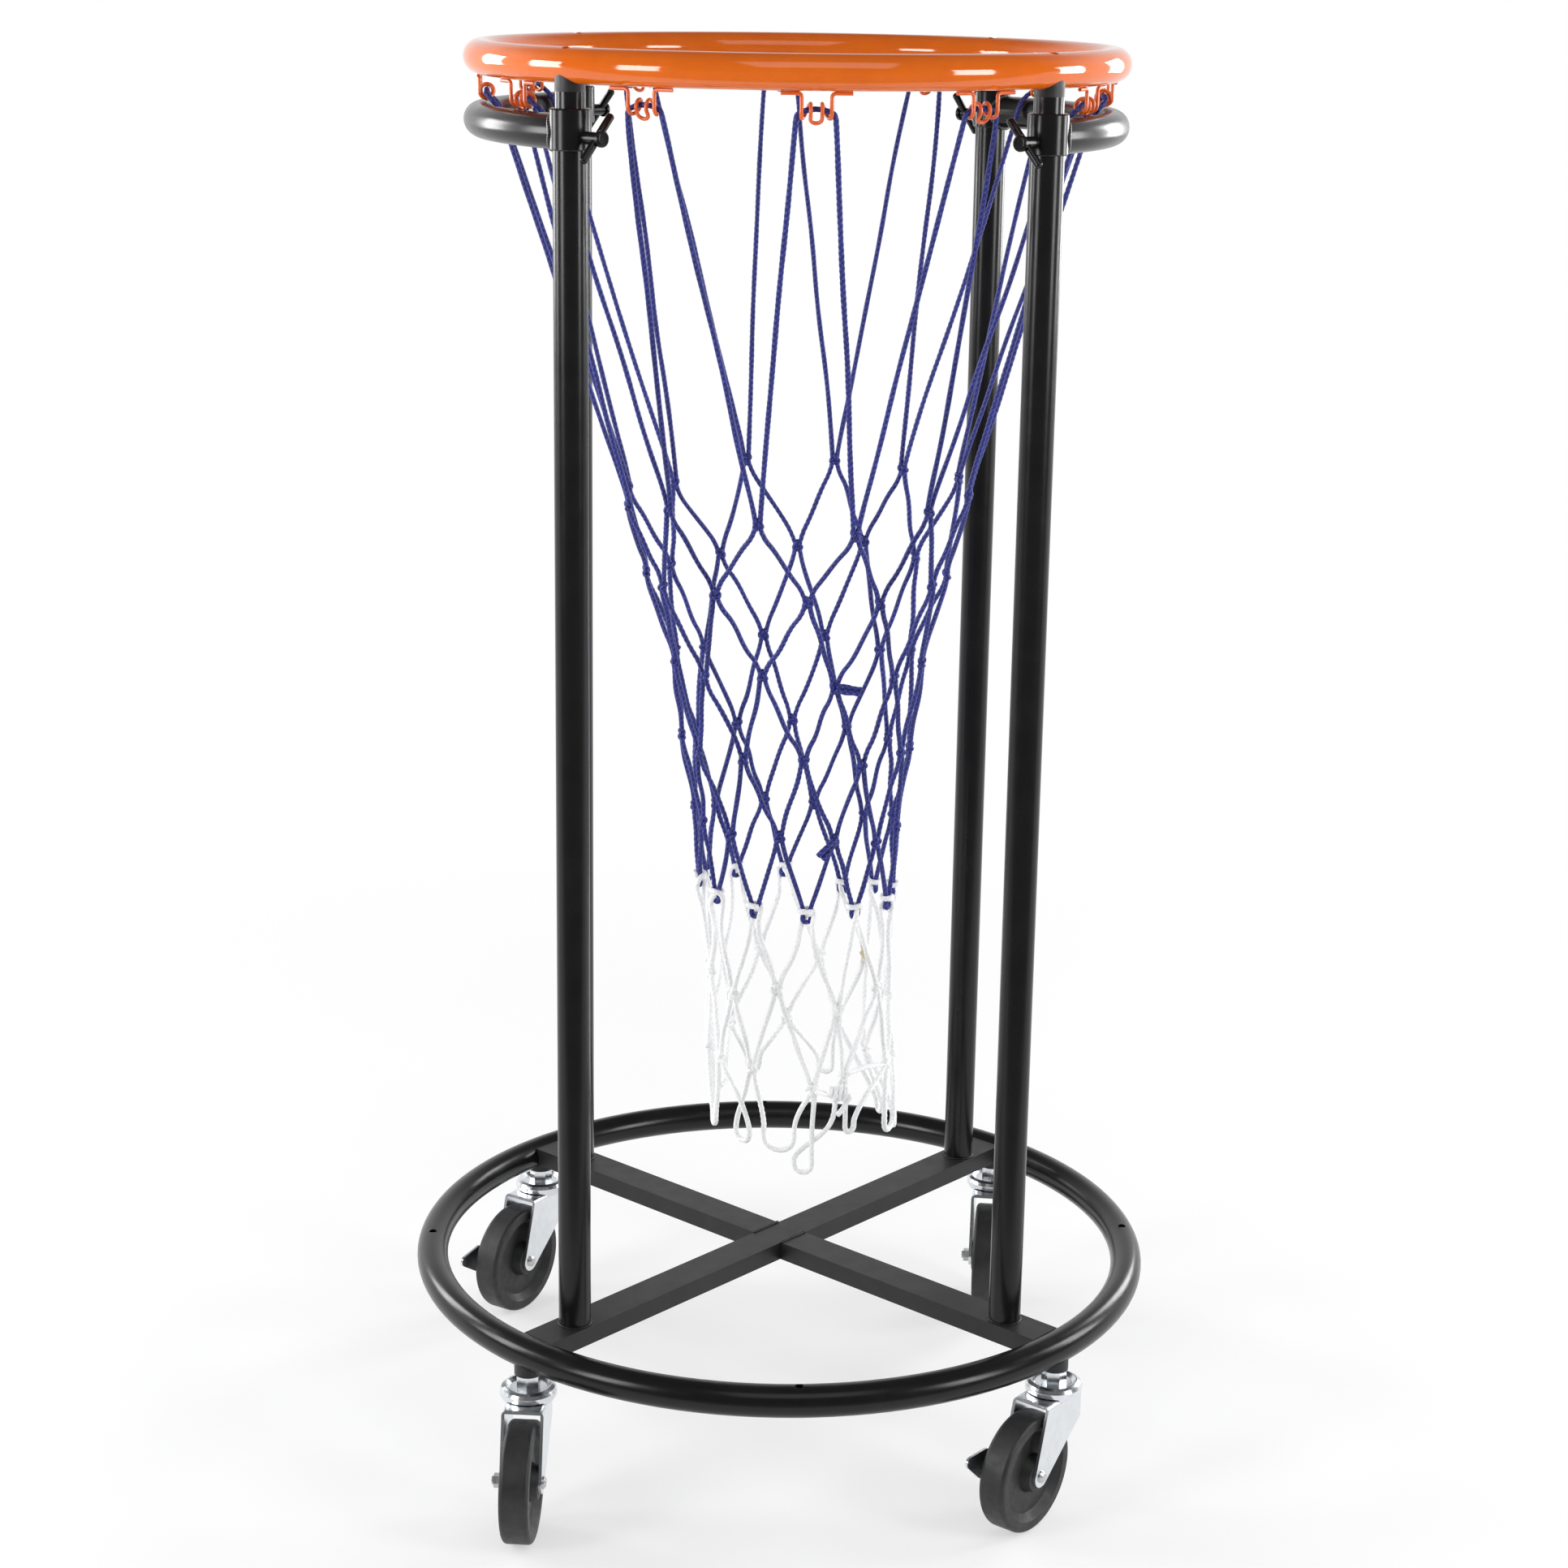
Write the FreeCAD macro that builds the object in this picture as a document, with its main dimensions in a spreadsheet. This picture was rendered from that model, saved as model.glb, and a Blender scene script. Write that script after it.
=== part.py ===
import FreeCAD, Part
import math
import os
import Sketcher

# Wheeled ring goal. Millimetres, +Z up, the front towards -Y.
# The origin is on the floor, under the centre of the base ring.

Vector = FreeCAD.Vector
Rotation = FreeCAD.Rotation
UP = Vector(0, 0, 1)

DRIVING_SIZES = [
    # Tubes of the frame and the hoop
    ("tube_od", 25.4, "outer diameter of hoop, base ring, posts and handles"),
    ("tube_wall", 1.5, "wall of hoop, base ring and handles"),
    ("hoop_inner_diameter", 457.2, "clear opening of the hoop"),
    ("hoop_height", 1115.0, "floor to the centre plane of the hoop"),
    ("base_outer_diameter", 609.6, "outside of the base ring"),
    ("ring_height", 138.0, "floor to the centre plane of the base ring"),
    ("crest_hole", 6.5, "holes in the crest of the base ring"),
    # Crossed bars in the base ring
    ("bar_width", 30.0, "crossbar, side to side"),
    ("bar_depth", 15.0, "crossbar, top to bottom"),
    ("bar_wall", 1.5, "crossbar wall"),
    ("bar_rise", 9.0, "top of the crossbars above the centre plane of the ring"),
    ("bar_inset", 10.0, "crossbar end to the centre line of the ring"),
    # Posts, sliding tubes and collars
    ("slide_clearance", 0.1, "radial play of a sliding tube in its post"),
    ("inner_od", 22.2, "sliding tube"),
    ("inner_wall", 1.5, "wall of a sliding tube"),
    ("inner_length", 450.0, "length of a sliding tube"),
    ("collar_od", 30.0, "collar on a post top"),
    ("collar_length", 29.3, "collar, top to bottom"),
    ("collar_drop", 29.6, "hoop centre plane to collar top"),
    ("collar_lip", 3.0, "inner lip that rests on the post"),
    ("collar_chamfer", 1.0, "chamfer on the collar rims"),
    ("handle_drop", 46.5, "hoop centre plane to the handle centre line"),
    # Saddles and bolts that hold the hoop
    ("saddle_od", 22.0, "saddle cap"),
    ("saddle_drop", 18.0, "hoop centre plane to the top of the sliding tubes"),
    ("access_hole", 11.0, "crest holes of the hoop, for the bolt heads"),
    ("hoop_bolt", 6.0, "thread of a hoop bolt"),
    ("hoop_bolt_head", 10.0, "head diameter of a hoop bolt"),
    ("hoop_bolt_head_height", 6.0, "head height of a hoop bolt"),
    ("hoop_bolt_hexagon", 5.0, "key size of a hoop bolt"),
    ("bolt_clearance", 0.1, "radial play of a bolt in a plain hole"),
    ("plug_length", 15.0, "threaded plug in a sliding tube"),
    # Clamp screws
    ("screw_drop", 49.5, "hoop centre plane to the clamp screws"),
    ("screw_thread", 8.0, "thread of a clamp screw"),
    ("screw_stem", 9.0, "plain stem of a clamp screw"),
    ("screw_head", 12.0, "round head of a clamp screw"),
    ("screw_head_length", 3.5, "length of the round head"),
    ("screw_reach", 34.0, "post axis to the end of a clamp screw"),
    ("screw_gap", 0.3, "clamp screw tip to the sliding tube, while loose"),
    ("tommy_od", 6.0, "cross bar of a clamp screw"),
    ("tommy_length", 43.0, "cross bar, end to end"),
    ("tommy_reach", 27.0, "post axis to the cross bar"),
    ("tommy_tilt", 42.0, "lean of the cross bars from upright, in degrees"),
    # Net hooks
    ("hook_wire", 2.8, "wire of the net hooks"),
    ("hook_span", 50.0, "hook, foot end to foot end"),
    ("hook_leg_gap", 21.0, "between the legs of a hook"),
    ("hook_loop_gap", 8.0, "between the sides of the middle loop"),
    ("hook_coil", 5.0, "centre line radius of the coils"),
    ("hook_coil_drop", 26.4, "hoop centre plane to the coil centres"),
    ("hook_bottom_drop", 34.6, "hoop centre plane to the bottom of the middle loop"),
    ("hook_short_drop", 32.6, "the same on the hooks over a handle"),
    ("hook_lean", 5.0, "the bottom of the middle loop, inward of its top"),
    # Net
    ("cord", 4.0, "net cord"),
    ("knot_half", 9.2, "each of the two round halves of a knot"),
    ("knot_spread", 4.6, "between the middles of those halves"),
    ("cord_gap", 0.3, "cord to the hook, and the white knots to the blue cord"),
    ("strand_leave", 13.8, "middle of a hook to where a strand turns down"),
    ("strand_drop", 28.8, "hoop centre plane to where a strand turns down"),
    ("strand_play", 1.5, "strand to the skin of a handle it passes"),
    ("strand_rise", 28.0, "where a strand turns round a handle, in degrees above its middle"),
    ("bight_width", 6.0, "bottom of the blue bights, corner to corner"),
    ("loop_width", 14.0, "bottom of the free white loops, corner to corner"),
    # Casters
    ("wheel_od", 95.0, "wheel"),
    ("wheel_width", 23.0, "tread"),
    ("wheel_corner", 3.5, "rounding of the tread corners"),
    ("rim_inner", 66.0, "inner diameter of the thick rim of a wheel"),
    ("web_width", 12.0, "thin web of a wheel"),
    ("hub_od", 26.0, "hub of a wheel"),
    ("sleeve_od", 13.0, "steel sleeve in the hub"),
    ("side_gap", 0.3, "hub to fork leg, each side"),
    ("axle", 6.4, "axle bolt"),
    ("axle_play", 0.08, "radial play of the sleeve on the axle"),
    ("axle_head", 10.0, "head of the axle bolt"),
    ("axle_head_height", 2.6, "head height of the axle bolt"),
    ("axle_nut", 10.0, "axle nut across the flats"),
    ("trail", 38.0, "swivel axis to wheel axis"),
    ("fork_inner", 28.0, "between the fork legs"),
    ("fork_plate", 2.5, "sheet of the fork"),
    ("fork_bend", 4.0, "outer bend radius of the fork"),
    ("fork_top", 103.5, "floor to the top of the fork"),
    ("fork_front", 31.0, "swivel axis to the trailing edge of the fork"),
    ("fork_back", 15.0, "swivel axis to the other edge of the fork"),
    ("fork_end", 9.0, "radius of the leg ends"),
    ("fork_slope", 40.0, "slope of the back edge of the legs, in degrees"),
    ("race_od", 41.0, "lower ball race"),
    ("ball", 4.0, "swivel balls"),
    ("ball_circle", 30.0, "circle of the swivel balls"),
    ("ball_gap", 0.05, "swivel balls to their races"),
    ("cap_od", 44.8, "upper ball race"),
    ("cap_gap", 0.8, "upper race above the fork"),
    ("cap_height", 7.7, "upper race, skirt edge to rim"),
    ("cap_plate", 2.0, "sheet of the upper race"),
    ("cap_dish", 29.0, "dish in the upper race"),
    ("cap_rim", 37.0, "highest circle of the upper race"),
    ("king_pin", 9.0, "king pin"),
    ("king_pin_play", 0.1, "radial play of the fork on the king pin"),
    ("king_head", 15.0, "riveted end of the king pin"),
    ("king_head_height", 1.6, "height of the riveted end"),
    ("stem_hexagon", 17.0, "hexagon of the stem across the flats"),
    ("stud", 10.0, "threaded stud of the stem"),
    ("stud_end", 4.0, "stud end above the centre plane of the ring"),
    ("socket_od", 22.0, "threaded boss under the ring"),
    ("socket_drop", 4.0, "boss below the underside of the ring"),
    # Side brakes: a lever points higher while its brake is off
    ("brake_plate", 2.0, "sheet of the brake lever"),
    ("brake_gap", 0.4, "brake lever to the fork leg, and to the axle nut"),
    ("brake_boss", 9.0, "radius of the lever round the axle"),
    ("brake_reach", 59.0, "wheel axis to the lever's tip"),
    ("brake_tip", 4.5, "radius of the lever's tip"),
    ("brake_shoulder", 36.0, "wheel axis to where the lever is widest"),
    ("brake_taper", 21.0, "slope of both edges from there to the tip, in degrees"),
    ("brake_off_angle", 22.5, "lever above level, in degrees, as on the front right caster"),
    ("brake_on_angle", 11.5, "lever above level, in degrees, as on the back left caster"),
    # How the casters stand, in degrees round from +X
    ("yaw_front_left", -97.0, "trailing direction"),
    ("yaw_front_right", -131.0, "trailing direction"),
    ("yaw_back_left", -125.0, "trailing direction"),
    ("yaw_back_right", -100.0, "trailing direction"),
]

HOOK_COUNT = 12
BALL_COUNT = 12
BRAKED = {"front_right": "brake_off_angle", "back_left": "brake_on_angle"}

# Each corner: name, side in X, side in Y, direction of its clamp screw in degrees,
# and which way its cross bar leans.
CORNERS = [
    ("front_left", -1, -1, -45, 1),
    ("front_right", 1, -1, -135, -1),
    ("back_left", -1, 1, 45, -1),
    ("back_right", 1, 1, 135, 1),
]

doc = FreeCAD.newDocument("WheeledRingGoal")
sheet = doc.addObject("Spreadsheet::Sheet", "Sizes")
for row, (alias, value, note) in enumerate(DRIVING_SIZES, start=1):
    sheet.set("A%d" % row, note)
    sheet.set("B%d" % row, str(value))
    sheet.setAlias("B%d" % row, alias)
doc.recompute()


class Size:
    """A number of the sheet, or one worked out from it, with the expression that says how."""

    def __init__(self, value, text):
        self.value = float(value)
        self.text = text

    def __add__(self, other):
        other = as_size(other)
        return Size(self.value + other.value, "(%s + %s)" % (self.text, other.text))

    def __sub__(self, other):
        other = as_size(other)
        return Size(self.value - other.value, "(%s - %s)" % (self.text, other.text))

    def __mul__(self, other):
        other = as_size(other)
        return Size(self.value * other.value, "%s * %s" % (self.text, other.text))

    def __truediv__(self, other):
        other = as_size(other)
        return Size(self.value / other.value, "%s / %s" % (self.text, other.text))

    def __neg__(self):
        return Size(-self.value, "(0 - %s)" % self.text)

    __radd__ = __add__
    __rmul__ = __mul__


def as_size(thing):
    if isinstance(thing, Size):
        return thing
    return Size(thing, "(%s)" % repr(float(thing)))


def root(size):
    return Size(math.sqrt(size.value), "sqrt(%s)" % size.text)


def sine(angle):
    angle = as_size(angle)
    return Size(math.sin(math.radians(angle.value)), "sin(%s)" % angle.text)


def cosine(angle):
    angle = as_size(angle)
    return Size(math.cos(math.radians(angle.value)), "cos(%s)" % angle.text)


def tangent(angle):
    angle = as_size(angle)
    return Size(math.tan(math.radians(angle.value)), "tan(%s)" % angle.text)


SIZE = {alias: Size(sheet.get(alias), "Sizes." + alias) for alias, value, note in DRIVING_SIZES}

# Sizes that follow from the sheet
tube_r = SIZE["tube_od"] / 2
tube_bore_r = tube_r - SIZE["tube_wall"]
hoop_r = SIZE["hoop_inner_diameter"] / 2 + tube_r
ring_r = SIZE["base_outer_diameter"] / 2 - tube_r
hoop_z = SIZE["hoop_height"]
ring_z = SIZE["ring_height"]
bar_top = ring_z + SIZE["bar_rise"]
collar_top = hoop_z - SIZE["collar_drop"]
collar_bottom = collar_top - SIZE["collar_length"]
post_top = collar_top - SIZE["collar_lip"]
post_bore_r = SIZE["inner_od"] / 2 + SIZE["slide_clearance"]
screw_z = hoop_z - SIZE["screw_drop"]
inner_top = hoop_z - SIZE["saddle_drop"]
axle_z = SIZE["wheel_od"] / 2
fork_outer = SIZE["fork_inner"] + SIZE["fork_plate"] * 2
fork_under = SIZE["fork_top"] - SIZE["fork_plate"]
hub_width = SIZE["fork_inner"] - SIZE["side_gap"] * 2
cap_bottom = SIZE["fork_top"] + SIZE["cap_gap"]
cap_top = cap_bottom + SIZE["cap_height"]
cap_floor = SIZE["fork_top"] + SIZE["ball"] + SIZE["ball_gap"] * 2
dish_floor = cap_floor + SIZE["cap_plate"]
socket_bottom = ring_z - tube_r - SIZE["socket_drop"]
HALF_ROOT = root(as_size(0.5))


# Document helpers

def bind(thing, **sizes):
    """Ties properties to expressions."""
    for name, size in sizes.items():
        thing.setExpression(name, as_size(size).text)


class Frame:
    """An upright axis on the floor with a direction, which a group of pieces is placed by."""

    def __init__(self, x, y, turn):
        self.x = as_size(x)
        self.y = as_size(y)
        self.turn = as_size(turn)

    def place(self, thing, along=0, across=0, up=0, tip=None):
        along = as_size(along)
        across = as_size(across)
        x = self.x + along * cosine(self.turn) - across * sine(self.turn)
        y = self.y + along * sine(self.turn) + across * cosine(self.turn)
        z = as_size(up)
        turn = Rotation(UP, self.turn.value)
        if tip is not None:
            turn = turn.multiply(tip)
        thing.Placement = FreeCAD.Placement(Vector(x.value, y.value, z.value), turn)
        thing.setExpression("Placement.Base.x", x.text)
        thing.setExpression("Placement.Base.y", y.text)
        thing.setExpression("Placement.Base.z", z.text)
        return thing


CENTRE = Frame(0, 0, 0)


def plane_of(body, role):
    return [item for item in body.Origin.OriginFeatures if item.Role == role][0]


def new_sketch(body, role, lift=None):
    """A sketch on a plane of its own body's origin, or lifted off that plane."""
    sketch = body.newObject("Sketcher::SketchObject", "Sketch")
    sketch.AttachmentSupport = [(plane_of(body, role), "")]
    sketch.MapMode = "FlatFace"
    if lift is not None:
        sketch.setExpression("AttachmentOffset.Base.z", lift.text)
    return sketch


def tie_point(sketch, geometry, point, x, y):
    """Ties one point of a sketch to its two coordinates."""
    for kind, size, axis in (("DistanceX", as_size(x), -2), ("DistanceY", as_size(y), -1)):
        if size.value == 0.0:
            sketch.addConstraint(Sketcher.Constraint("PointOnObject", geometry, point, axis))
        else:
            constraint = Sketcher.Constraint(kind, -1, 1, geometry, point, size.value)
            index = sketch.addConstraint(constraint)
            sketch.setExpression("Constraints[%d]" % index, size.text)


def draw_polygon(sketch, points):
    first = sketch.GeometryCount
    places = [Vector(as_size(x).value, as_size(y).value, 0) for x, y in points]
    count = len(points)
    for index in range(count):
        sketch.addGeometry(Part.LineSegment(places[index], places[(index + 1) % count]), False)
    for index in range(count):
        following = first + (index + 1) % count
        sketch.addConstraint(Sketcher.Constraint("Coincident", first + index, 2, following, 1))
    for index, (x, y) in enumerate(points):
        tie_point(sketch, first + index, 1, x, y)


def draw_circle(sketch, radius, x=0, y=0):
    radius = as_size(radius)
    centre = Vector(as_size(x).value, as_size(y).value, 0)
    index = sketch.addGeometry(Part.Circle(centre, UP, radius.value), False)
    tie_point(sketch, index, 3, x, y)
    constraint = sketch.addConstraint(Sketcher.Constraint("Radius", index, radius.value))
    sketch.setExpression("Constraints[%d]" % constraint, radius.text)


def draw_hexagon(sketch, flats, x=0, y=0):
    corner = flats / root(as_size(3))
    angles = [60 * step for step in range(6)]
    draw_polygon(sketch, [(corner * cosine(a) + x, corner * sine(a) + y) for a in angles])


def new_body(label):
    body = doc.addObject("PartDesign::Body", "Body")
    body.Label = label
    return body


def add_pad(body, sketch, length, both_sides=False, reverse=False):
    pad = body.newObject("PartDesign::Pad", "Pad")
    pad.Profile = sketch
    bind(pad, Length=length)
    pad.Midplane = both_sides
    pad.Reversed = reverse
    return pad


def add_pocket(body, sketch, length, both_sides=False, reverse=False):
    pocket = body.newObject("PartDesign::Pocket", "Pocket")
    pocket.Profile = sketch
    bind(pocket, Length=length)
    pocket.Midplane = both_sides
    pocket.Reversed = reverse
    return pocket


def add_revolution(body, sketch, axis):
    revolution = body.newObject("PartDesign::Revolution", "Revolution")
    revolution.Profile = sketch
    revolution.ReferenceAxis = (sketch, [axis])
    revolution.Angle = 360
    return revolution


def add_fillet(body, base, radius, wanted):
    """Rounds the edges of a feature that the test picks."""
    doc.recompute()
    names = ["Edge%d" % (n + 1) for n, edge in enumerate(base.Shape.Edges) if wanted(edge)]
    fillet = body.newObject("PartDesign::Fillet", "Fillet")
    fillet.Base = (base, names)
    bind(fillet, Radius=radius)
    return fillet


def turned_body(label, profile):
    """A body turned about its own Z axis from points of radius and height."""
    body = new_body(label)
    sketch = new_sketch(body, "XZ_Plane")
    draw_polygon(sketch, profile)
    add_revolution(body, sketch, "V_Axis")
    return body


def tube_body(label, outer_r, inner_r, length):
    body = new_body(label)
    sketch = new_sketch(body, "XY_Plane")
    draw_circle(sketch, outer_r)
    draw_circle(sketch, inner_r)
    add_pad(body, sketch, length)
    return body


def drill_side(body, radius, height, reach):
    """Drills the wall on the +X side of a body, from its axis outwards."""
    sketch = new_sketch(body, "YZ_Plane")
    draw_circle(sketch, radius, 0, height)
    add_pocket(body, sketch, reach, reverse=True)


def torus(radius, tube_radius):
    thing = doc.addObject("Part::Torus", "Torus")
    bind(thing, Radius1=radius, Radius2=tube_radius)
    return thing


def cylinder(radius, height):
    thing = doc.addObject("Part::Cylinder", "Cylinder")
    bind(thing, Radius=radius, Height=height)
    return thing


def fused(things):
    fuse = doc.addObject("Part::MultiFuse", "Tools")
    fuse.Shapes = things
    return fuse


def cut(label, base, tools):
    result = doc.addObject("Part::Cut", "Cut")
    result.Label = label
    result.Base = base
    result.Tool = tools[0] if len(tools) == 1 else fused(tools)
    return result


def group(label, things):
    result = doc.addObject("Part::Compound", "Group")
    result.Label = label
    result.Links = things
    return result


NODES = []


def keep(thing):
    """Marks a finished sub-part, which is written under its label."""
    NODES.append(thing)
    return thing


# Frames of the four corners

POST_FRAMES = {}
CASTER_FRAMES = {}
for name, side_x, side_y, screw_turn, lean in CORNERS:
    POST_FRAMES[name] = Frame(hoop_r * HALF_ROOT * side_x, hoop_r * HALF_ROOT * side_y, screw_turn)
    ring_x = ring_r * HALF_ROOT * side_x
    ring_y = ring_r * HALF_ROOT * side_y
    CASTER_FRAMES[name] = Frame(ring_x, ring_y, SIZE["yaw_" + name])


# Base ring with its crest holes and the stud holes below

def ring_solid(radius, height):
    """The full round bar that a tube ring is made from, also used to cope what meets the ring."""
    return CENTRE.place(torus(radius, tube_r), up=height)


def build_base_ring():
    tools = [CENTRE.place(torus(ring_r, tube_bore_r), up=ring_z)]
    for quarter in range(4):
        around = Frame(0, 0, 90 * quarter)
        hole = cylinder(SIZE["crest_hole"] / 2, tube_r * 2)
        tools.append(around.place(hole, along=ring_r, up=ring_z))
    for frame in CASTER_FRAMES.values():
        hole = cylinder(SIZE["stud"] / 2, tube_r * 2)
        tools.append(frame.place(hole, up=ring_z - tube_r * 2))
    keep(cut("base_ring", ring_solid(ring_r, ring_z), tools))


def bar_body(label, length, both_sides):
    """Rectangular tube along X with its top at the height of its own origin."""
    body = new_body(label)
    half = SIZE["bar_width"] / 2
    wall = SIZE["bar_wall"]
    depth = SIZE["bar_depth"]
    sketch = new_sketch(body, "YZ_Plane")
    draw_polygon(sketch, [(-half, -depth), (half, -depth), (half, 0), (-half, 0)])
    low = wall - depth
    side = half - wall
    draw_polygon(sketch, [(-side, low), (side, low), (side, -wall), (-side, -wall)])
    add_pad(body, sketch, length, both_sides)
    return body


def build_crossbars():
    reach = ring_r - SIZE["bar_inset"]
    long_bar = bar_body("long bar blank", reach * 2, True)
    Frame(0, 0, 45).place(long_bar, up=bar_top)
    keep(cut("crossbar_long", long_bar, [ring_solid(ring_r, ring_z)]))
    half_width = SIZE["bar_width"] / 2
    for label, turn in (("crossbar_back_left", 135), ("crossbar_front_right", -45)):
        short_bar = bar_body("short bar blank", reach - half_width, False)
        Frame(0, 0, turn).place(short_bar, along=half_width, up=bar_top)
        keep(cut(label, short_bar, [ring_solid(ring_r, ring_z)]))


# Posts and collars

def build_posts():
    hole_r = SIZE["screw_thread"] / 2 + SIZE["bolt_clearance"]
    for name, frame in POST_FRAMES.items():
        post = tube_body("post_" + name, tube_r, post_bore_r, post_top - bar_top)
        drill_side(post, hole_r, screw_z - bar_top, tube_r * 2)
        keep(frame.place(post, up=bar_top))


def build_collars():
    outer = SIZE["collar_od"] / 2
    length = SIZE["collar_length"]
    chamfer = SIZE["collar_chamfer"]
    shelf = length - SIZE["collar_lip"]
    profile = [
        (tube_r, 0), (outer - chamfer, 0), (outer, chamfer), (outer, length - chamfer),
        (outer - chamfer, length), (post_bore_r, length), (post_bore_r, shelf), (tube_r, shelf),
    ]
    hole_r = SIZE["screw_thread"] / 2 + SIZE["bolt_clearance"]
    for name, frame in POST_FRAMES.items():
        collar = turned_body("collar_" + name, profile)
        drill_side(collar, hole_r, screw_z - collar_bottom, outer * 2)
        keep(frame.place(collar, up=collar_bottom))


# Handles: quarter rings of tube between the collars, coped to them

def build_handles():
    handle_z = hoop_z - SIZE["handle_drop"]
    for label, start in (("handle_left", 135), ("handle_right", -45)):
        blank = torus(hoop_r, tube_r)
        blank.Angle3 = 90
        Frame(0, 0, start).place(blank, up=handle_z)
        tools = [CENTRE.place(torus(hoop_r, tube_bore_r), up=handle_z)]
        for turn in (start, start + 90):
            collar_room = cylinder(SIZE["collar_od"] / 2, tube_r * 4)
            tools.append(Frame(0, 0, turn).place(collar_room, along=hoop_r, up=handle_z - tube_r * 2))
        keep(cut(label, blank, tools))


# Hoop, its saddles, bolts, plugs and sliding tubes

def build_hoop():
    tools = [CENTRE.place(torus(hoop_r, tube_bore_r), up=hoop_z)]
    for frame in POST_FRAMES.values():
        access = cylinder(SIZE["access_hole"] / 2, tube_r * 2)
        tools.append(frame.place(access, up=hoop_z))
        through = cylinder(SIZE["hoop_bolt"] / 2 + SIZE["bolt_clearance"], tube_r * 2)
        tools.append(frame.place(through, up=hoop_z - tube_r * 2))
    keep(cut("hoop_ring", ring_solid(hoop_r, hoop_z), tools))


def build_saddles():
    radius = SIZE["saddle_od"] / 2
    horn_drop = root(tube_r * tube_r - radius * radius)
    blanks = []
    tools = [ring_solid(hoop_r, hoop_z)]
    for frame in POST_FRAMES.values():
        blanks.append(frame.place(cylinder(radius, SIZE["saddle_drop"] - horn_drop), up=inner_top))
        bore = cylinder(SIZE["hoop_bolt"] / 2 + SIZE["bolt_clearance"], tube_r * 2)
        tools.append(frame.place(bore, up=inner_top - tube_r))
    keep(cut("saddle_caps", fused(blanks), tools))


def build_hoop_bolts():
    head_r = SIZE["hoop_bolt_head"] / 2
    thread_r = SIZE["hoop_bolt"] / 2
    # The head rests on the curved inside of the tube, at its own edge.
    seat = hoop_z - root(tube_bore_r * tube_bore_r - head_r * head_r) + SIZE["bolt_clearance"]
    length = seat - inner_top + SIZE["plug_length"]
    head = SIZE["hoop_bolt_head_height"]
    profile = [(0, -length), (thread_r, -length), (thread_r, 0), (head_r, 0), (head_r, head), (0, head)]
    bolts = []
    for frame in POST_FRAMES.values():
        bolt = turned_body("hoop bolt", profile)
        socket = new_sketch(bolt, "XY_Plane", lift=head)
        draw_hexagon(socket, SIZE["hoop_bolt_hexagon"])
        add_pocket(bolt, socket, head / 2)
        bolts.append(frame.place(bolt, up=seat))
    keep(group("hoop_bolts", bolts))


def build_tube_plugs():
    plugs = []
    for frame in POST_FRAMES.values():
        bore_r = SIZE["inner_od"] / 2 - SIZE["inner_wall"]
        plug = tube_body("tube plug", bore_r, SIZE["hoop_bolt"] / 2, SIZE["plug_length"])
        plugs.append(frame.place(plug, up=inner_top - SIZE["plug_length"]))
    keep(group("tube_plugs", plugs))


def build_inner_tubes():
    outer_r = SIZE["inner_od"] / 2
    for name, frame in POST_FRAMES.items():
        tube = tube_body("inner_tube_" + name, outer_r, outer_r - SIZE["inner_wall"], SIZE["inner_length"])
        keep(frame.place(tube, up=inner_top - SIZE["inner_length"]))


# Clamp screws, made along X and tipped so that the cross bar leans

def build_clamp_screws():
    tip = SIZE["inner_od"] / 2 + SIZE["screw_gap"]
    shoulder = SIZE["collar_od"] / 2 + SIZE["screw_gap"]
    reach = SIZE["screw_reach"]
    neck = reach - SIZE["screw_head_length"]
    thread_r = SIZE["screw_thread"] / 2
    stem_r = SIZE["screw_stem"] / 2
    head_r = SIZE["screw_head"] / 2
    profile = [
        (tip, 0), (reach, 0), (reach, head_r), (neck, head_r), (neck, stem_r),
        (shoulder, stem_r), (shoulder, thread_r), (tip, thread_r),
    ]
    bar_r = SIZE["tommy_od"] / 2
    half_bar = SIZE["tommy_length"] / 2
    bar_profile = [(0, -half_bar), (bar_r, -half_bar), (bar_r, half_bar), (0, half_bar)]
    for name, side_x, side_y, screw_turn, lean in CORNERS:
        tip_over = Rotation(Vector(1, 0, 0), -lean * SIZE["tommy_tilt"].value)
        screw = new_body("clamp_screw_" + name)
        sketch = new_sketch(screw, "XZ_Plane")
        draw_polygon(sketch, profile)
        add_revolution(screw, sketch, "H_Axis")
        hole = new_sketch(screw, "XY_Plane")
        draw_circle(hole, bar_r, SIZE["tommy_reach"], 0)
        drilled = add_pocket(screw, hole, SIZE["screw_head"] * 2, both_sides=True)
        face = reach.value
        add_fillet(screw, drilled, SIZE["screw_head_length"] / 2, lambda edge: on_plane_x(edge, face))
        keep(POST_FRAMES[name].place(screw, up=screw_z, tip=tip_over))
        bar = turned_body("tommy_bar_" + name, bar_profile)
        add_fillet(bar, bar.Tip, bar_r * 0.6, lambda edge: edge.Curve.TypeId == "Part::GeomCircle")
        keep(POST_FRAMES[name].place(bar, along=SIZE["tommy_reach"], up=screw_z, tip=tip_over))


def on_plane_x(edge, x):
    box = edge.BoundBox
    return abs(box.XMin - x) < 0.001 and abs(box.XMax - x) < 0.001 and box.YLength > 0.001


# Bent wires and cords

FITTED_BEND = 0.97  # share of the largest bend radius that fits between two corners
KNOT_SKIN = 0.9  # a cord starts this share of the way out to the skin of its knot

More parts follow.
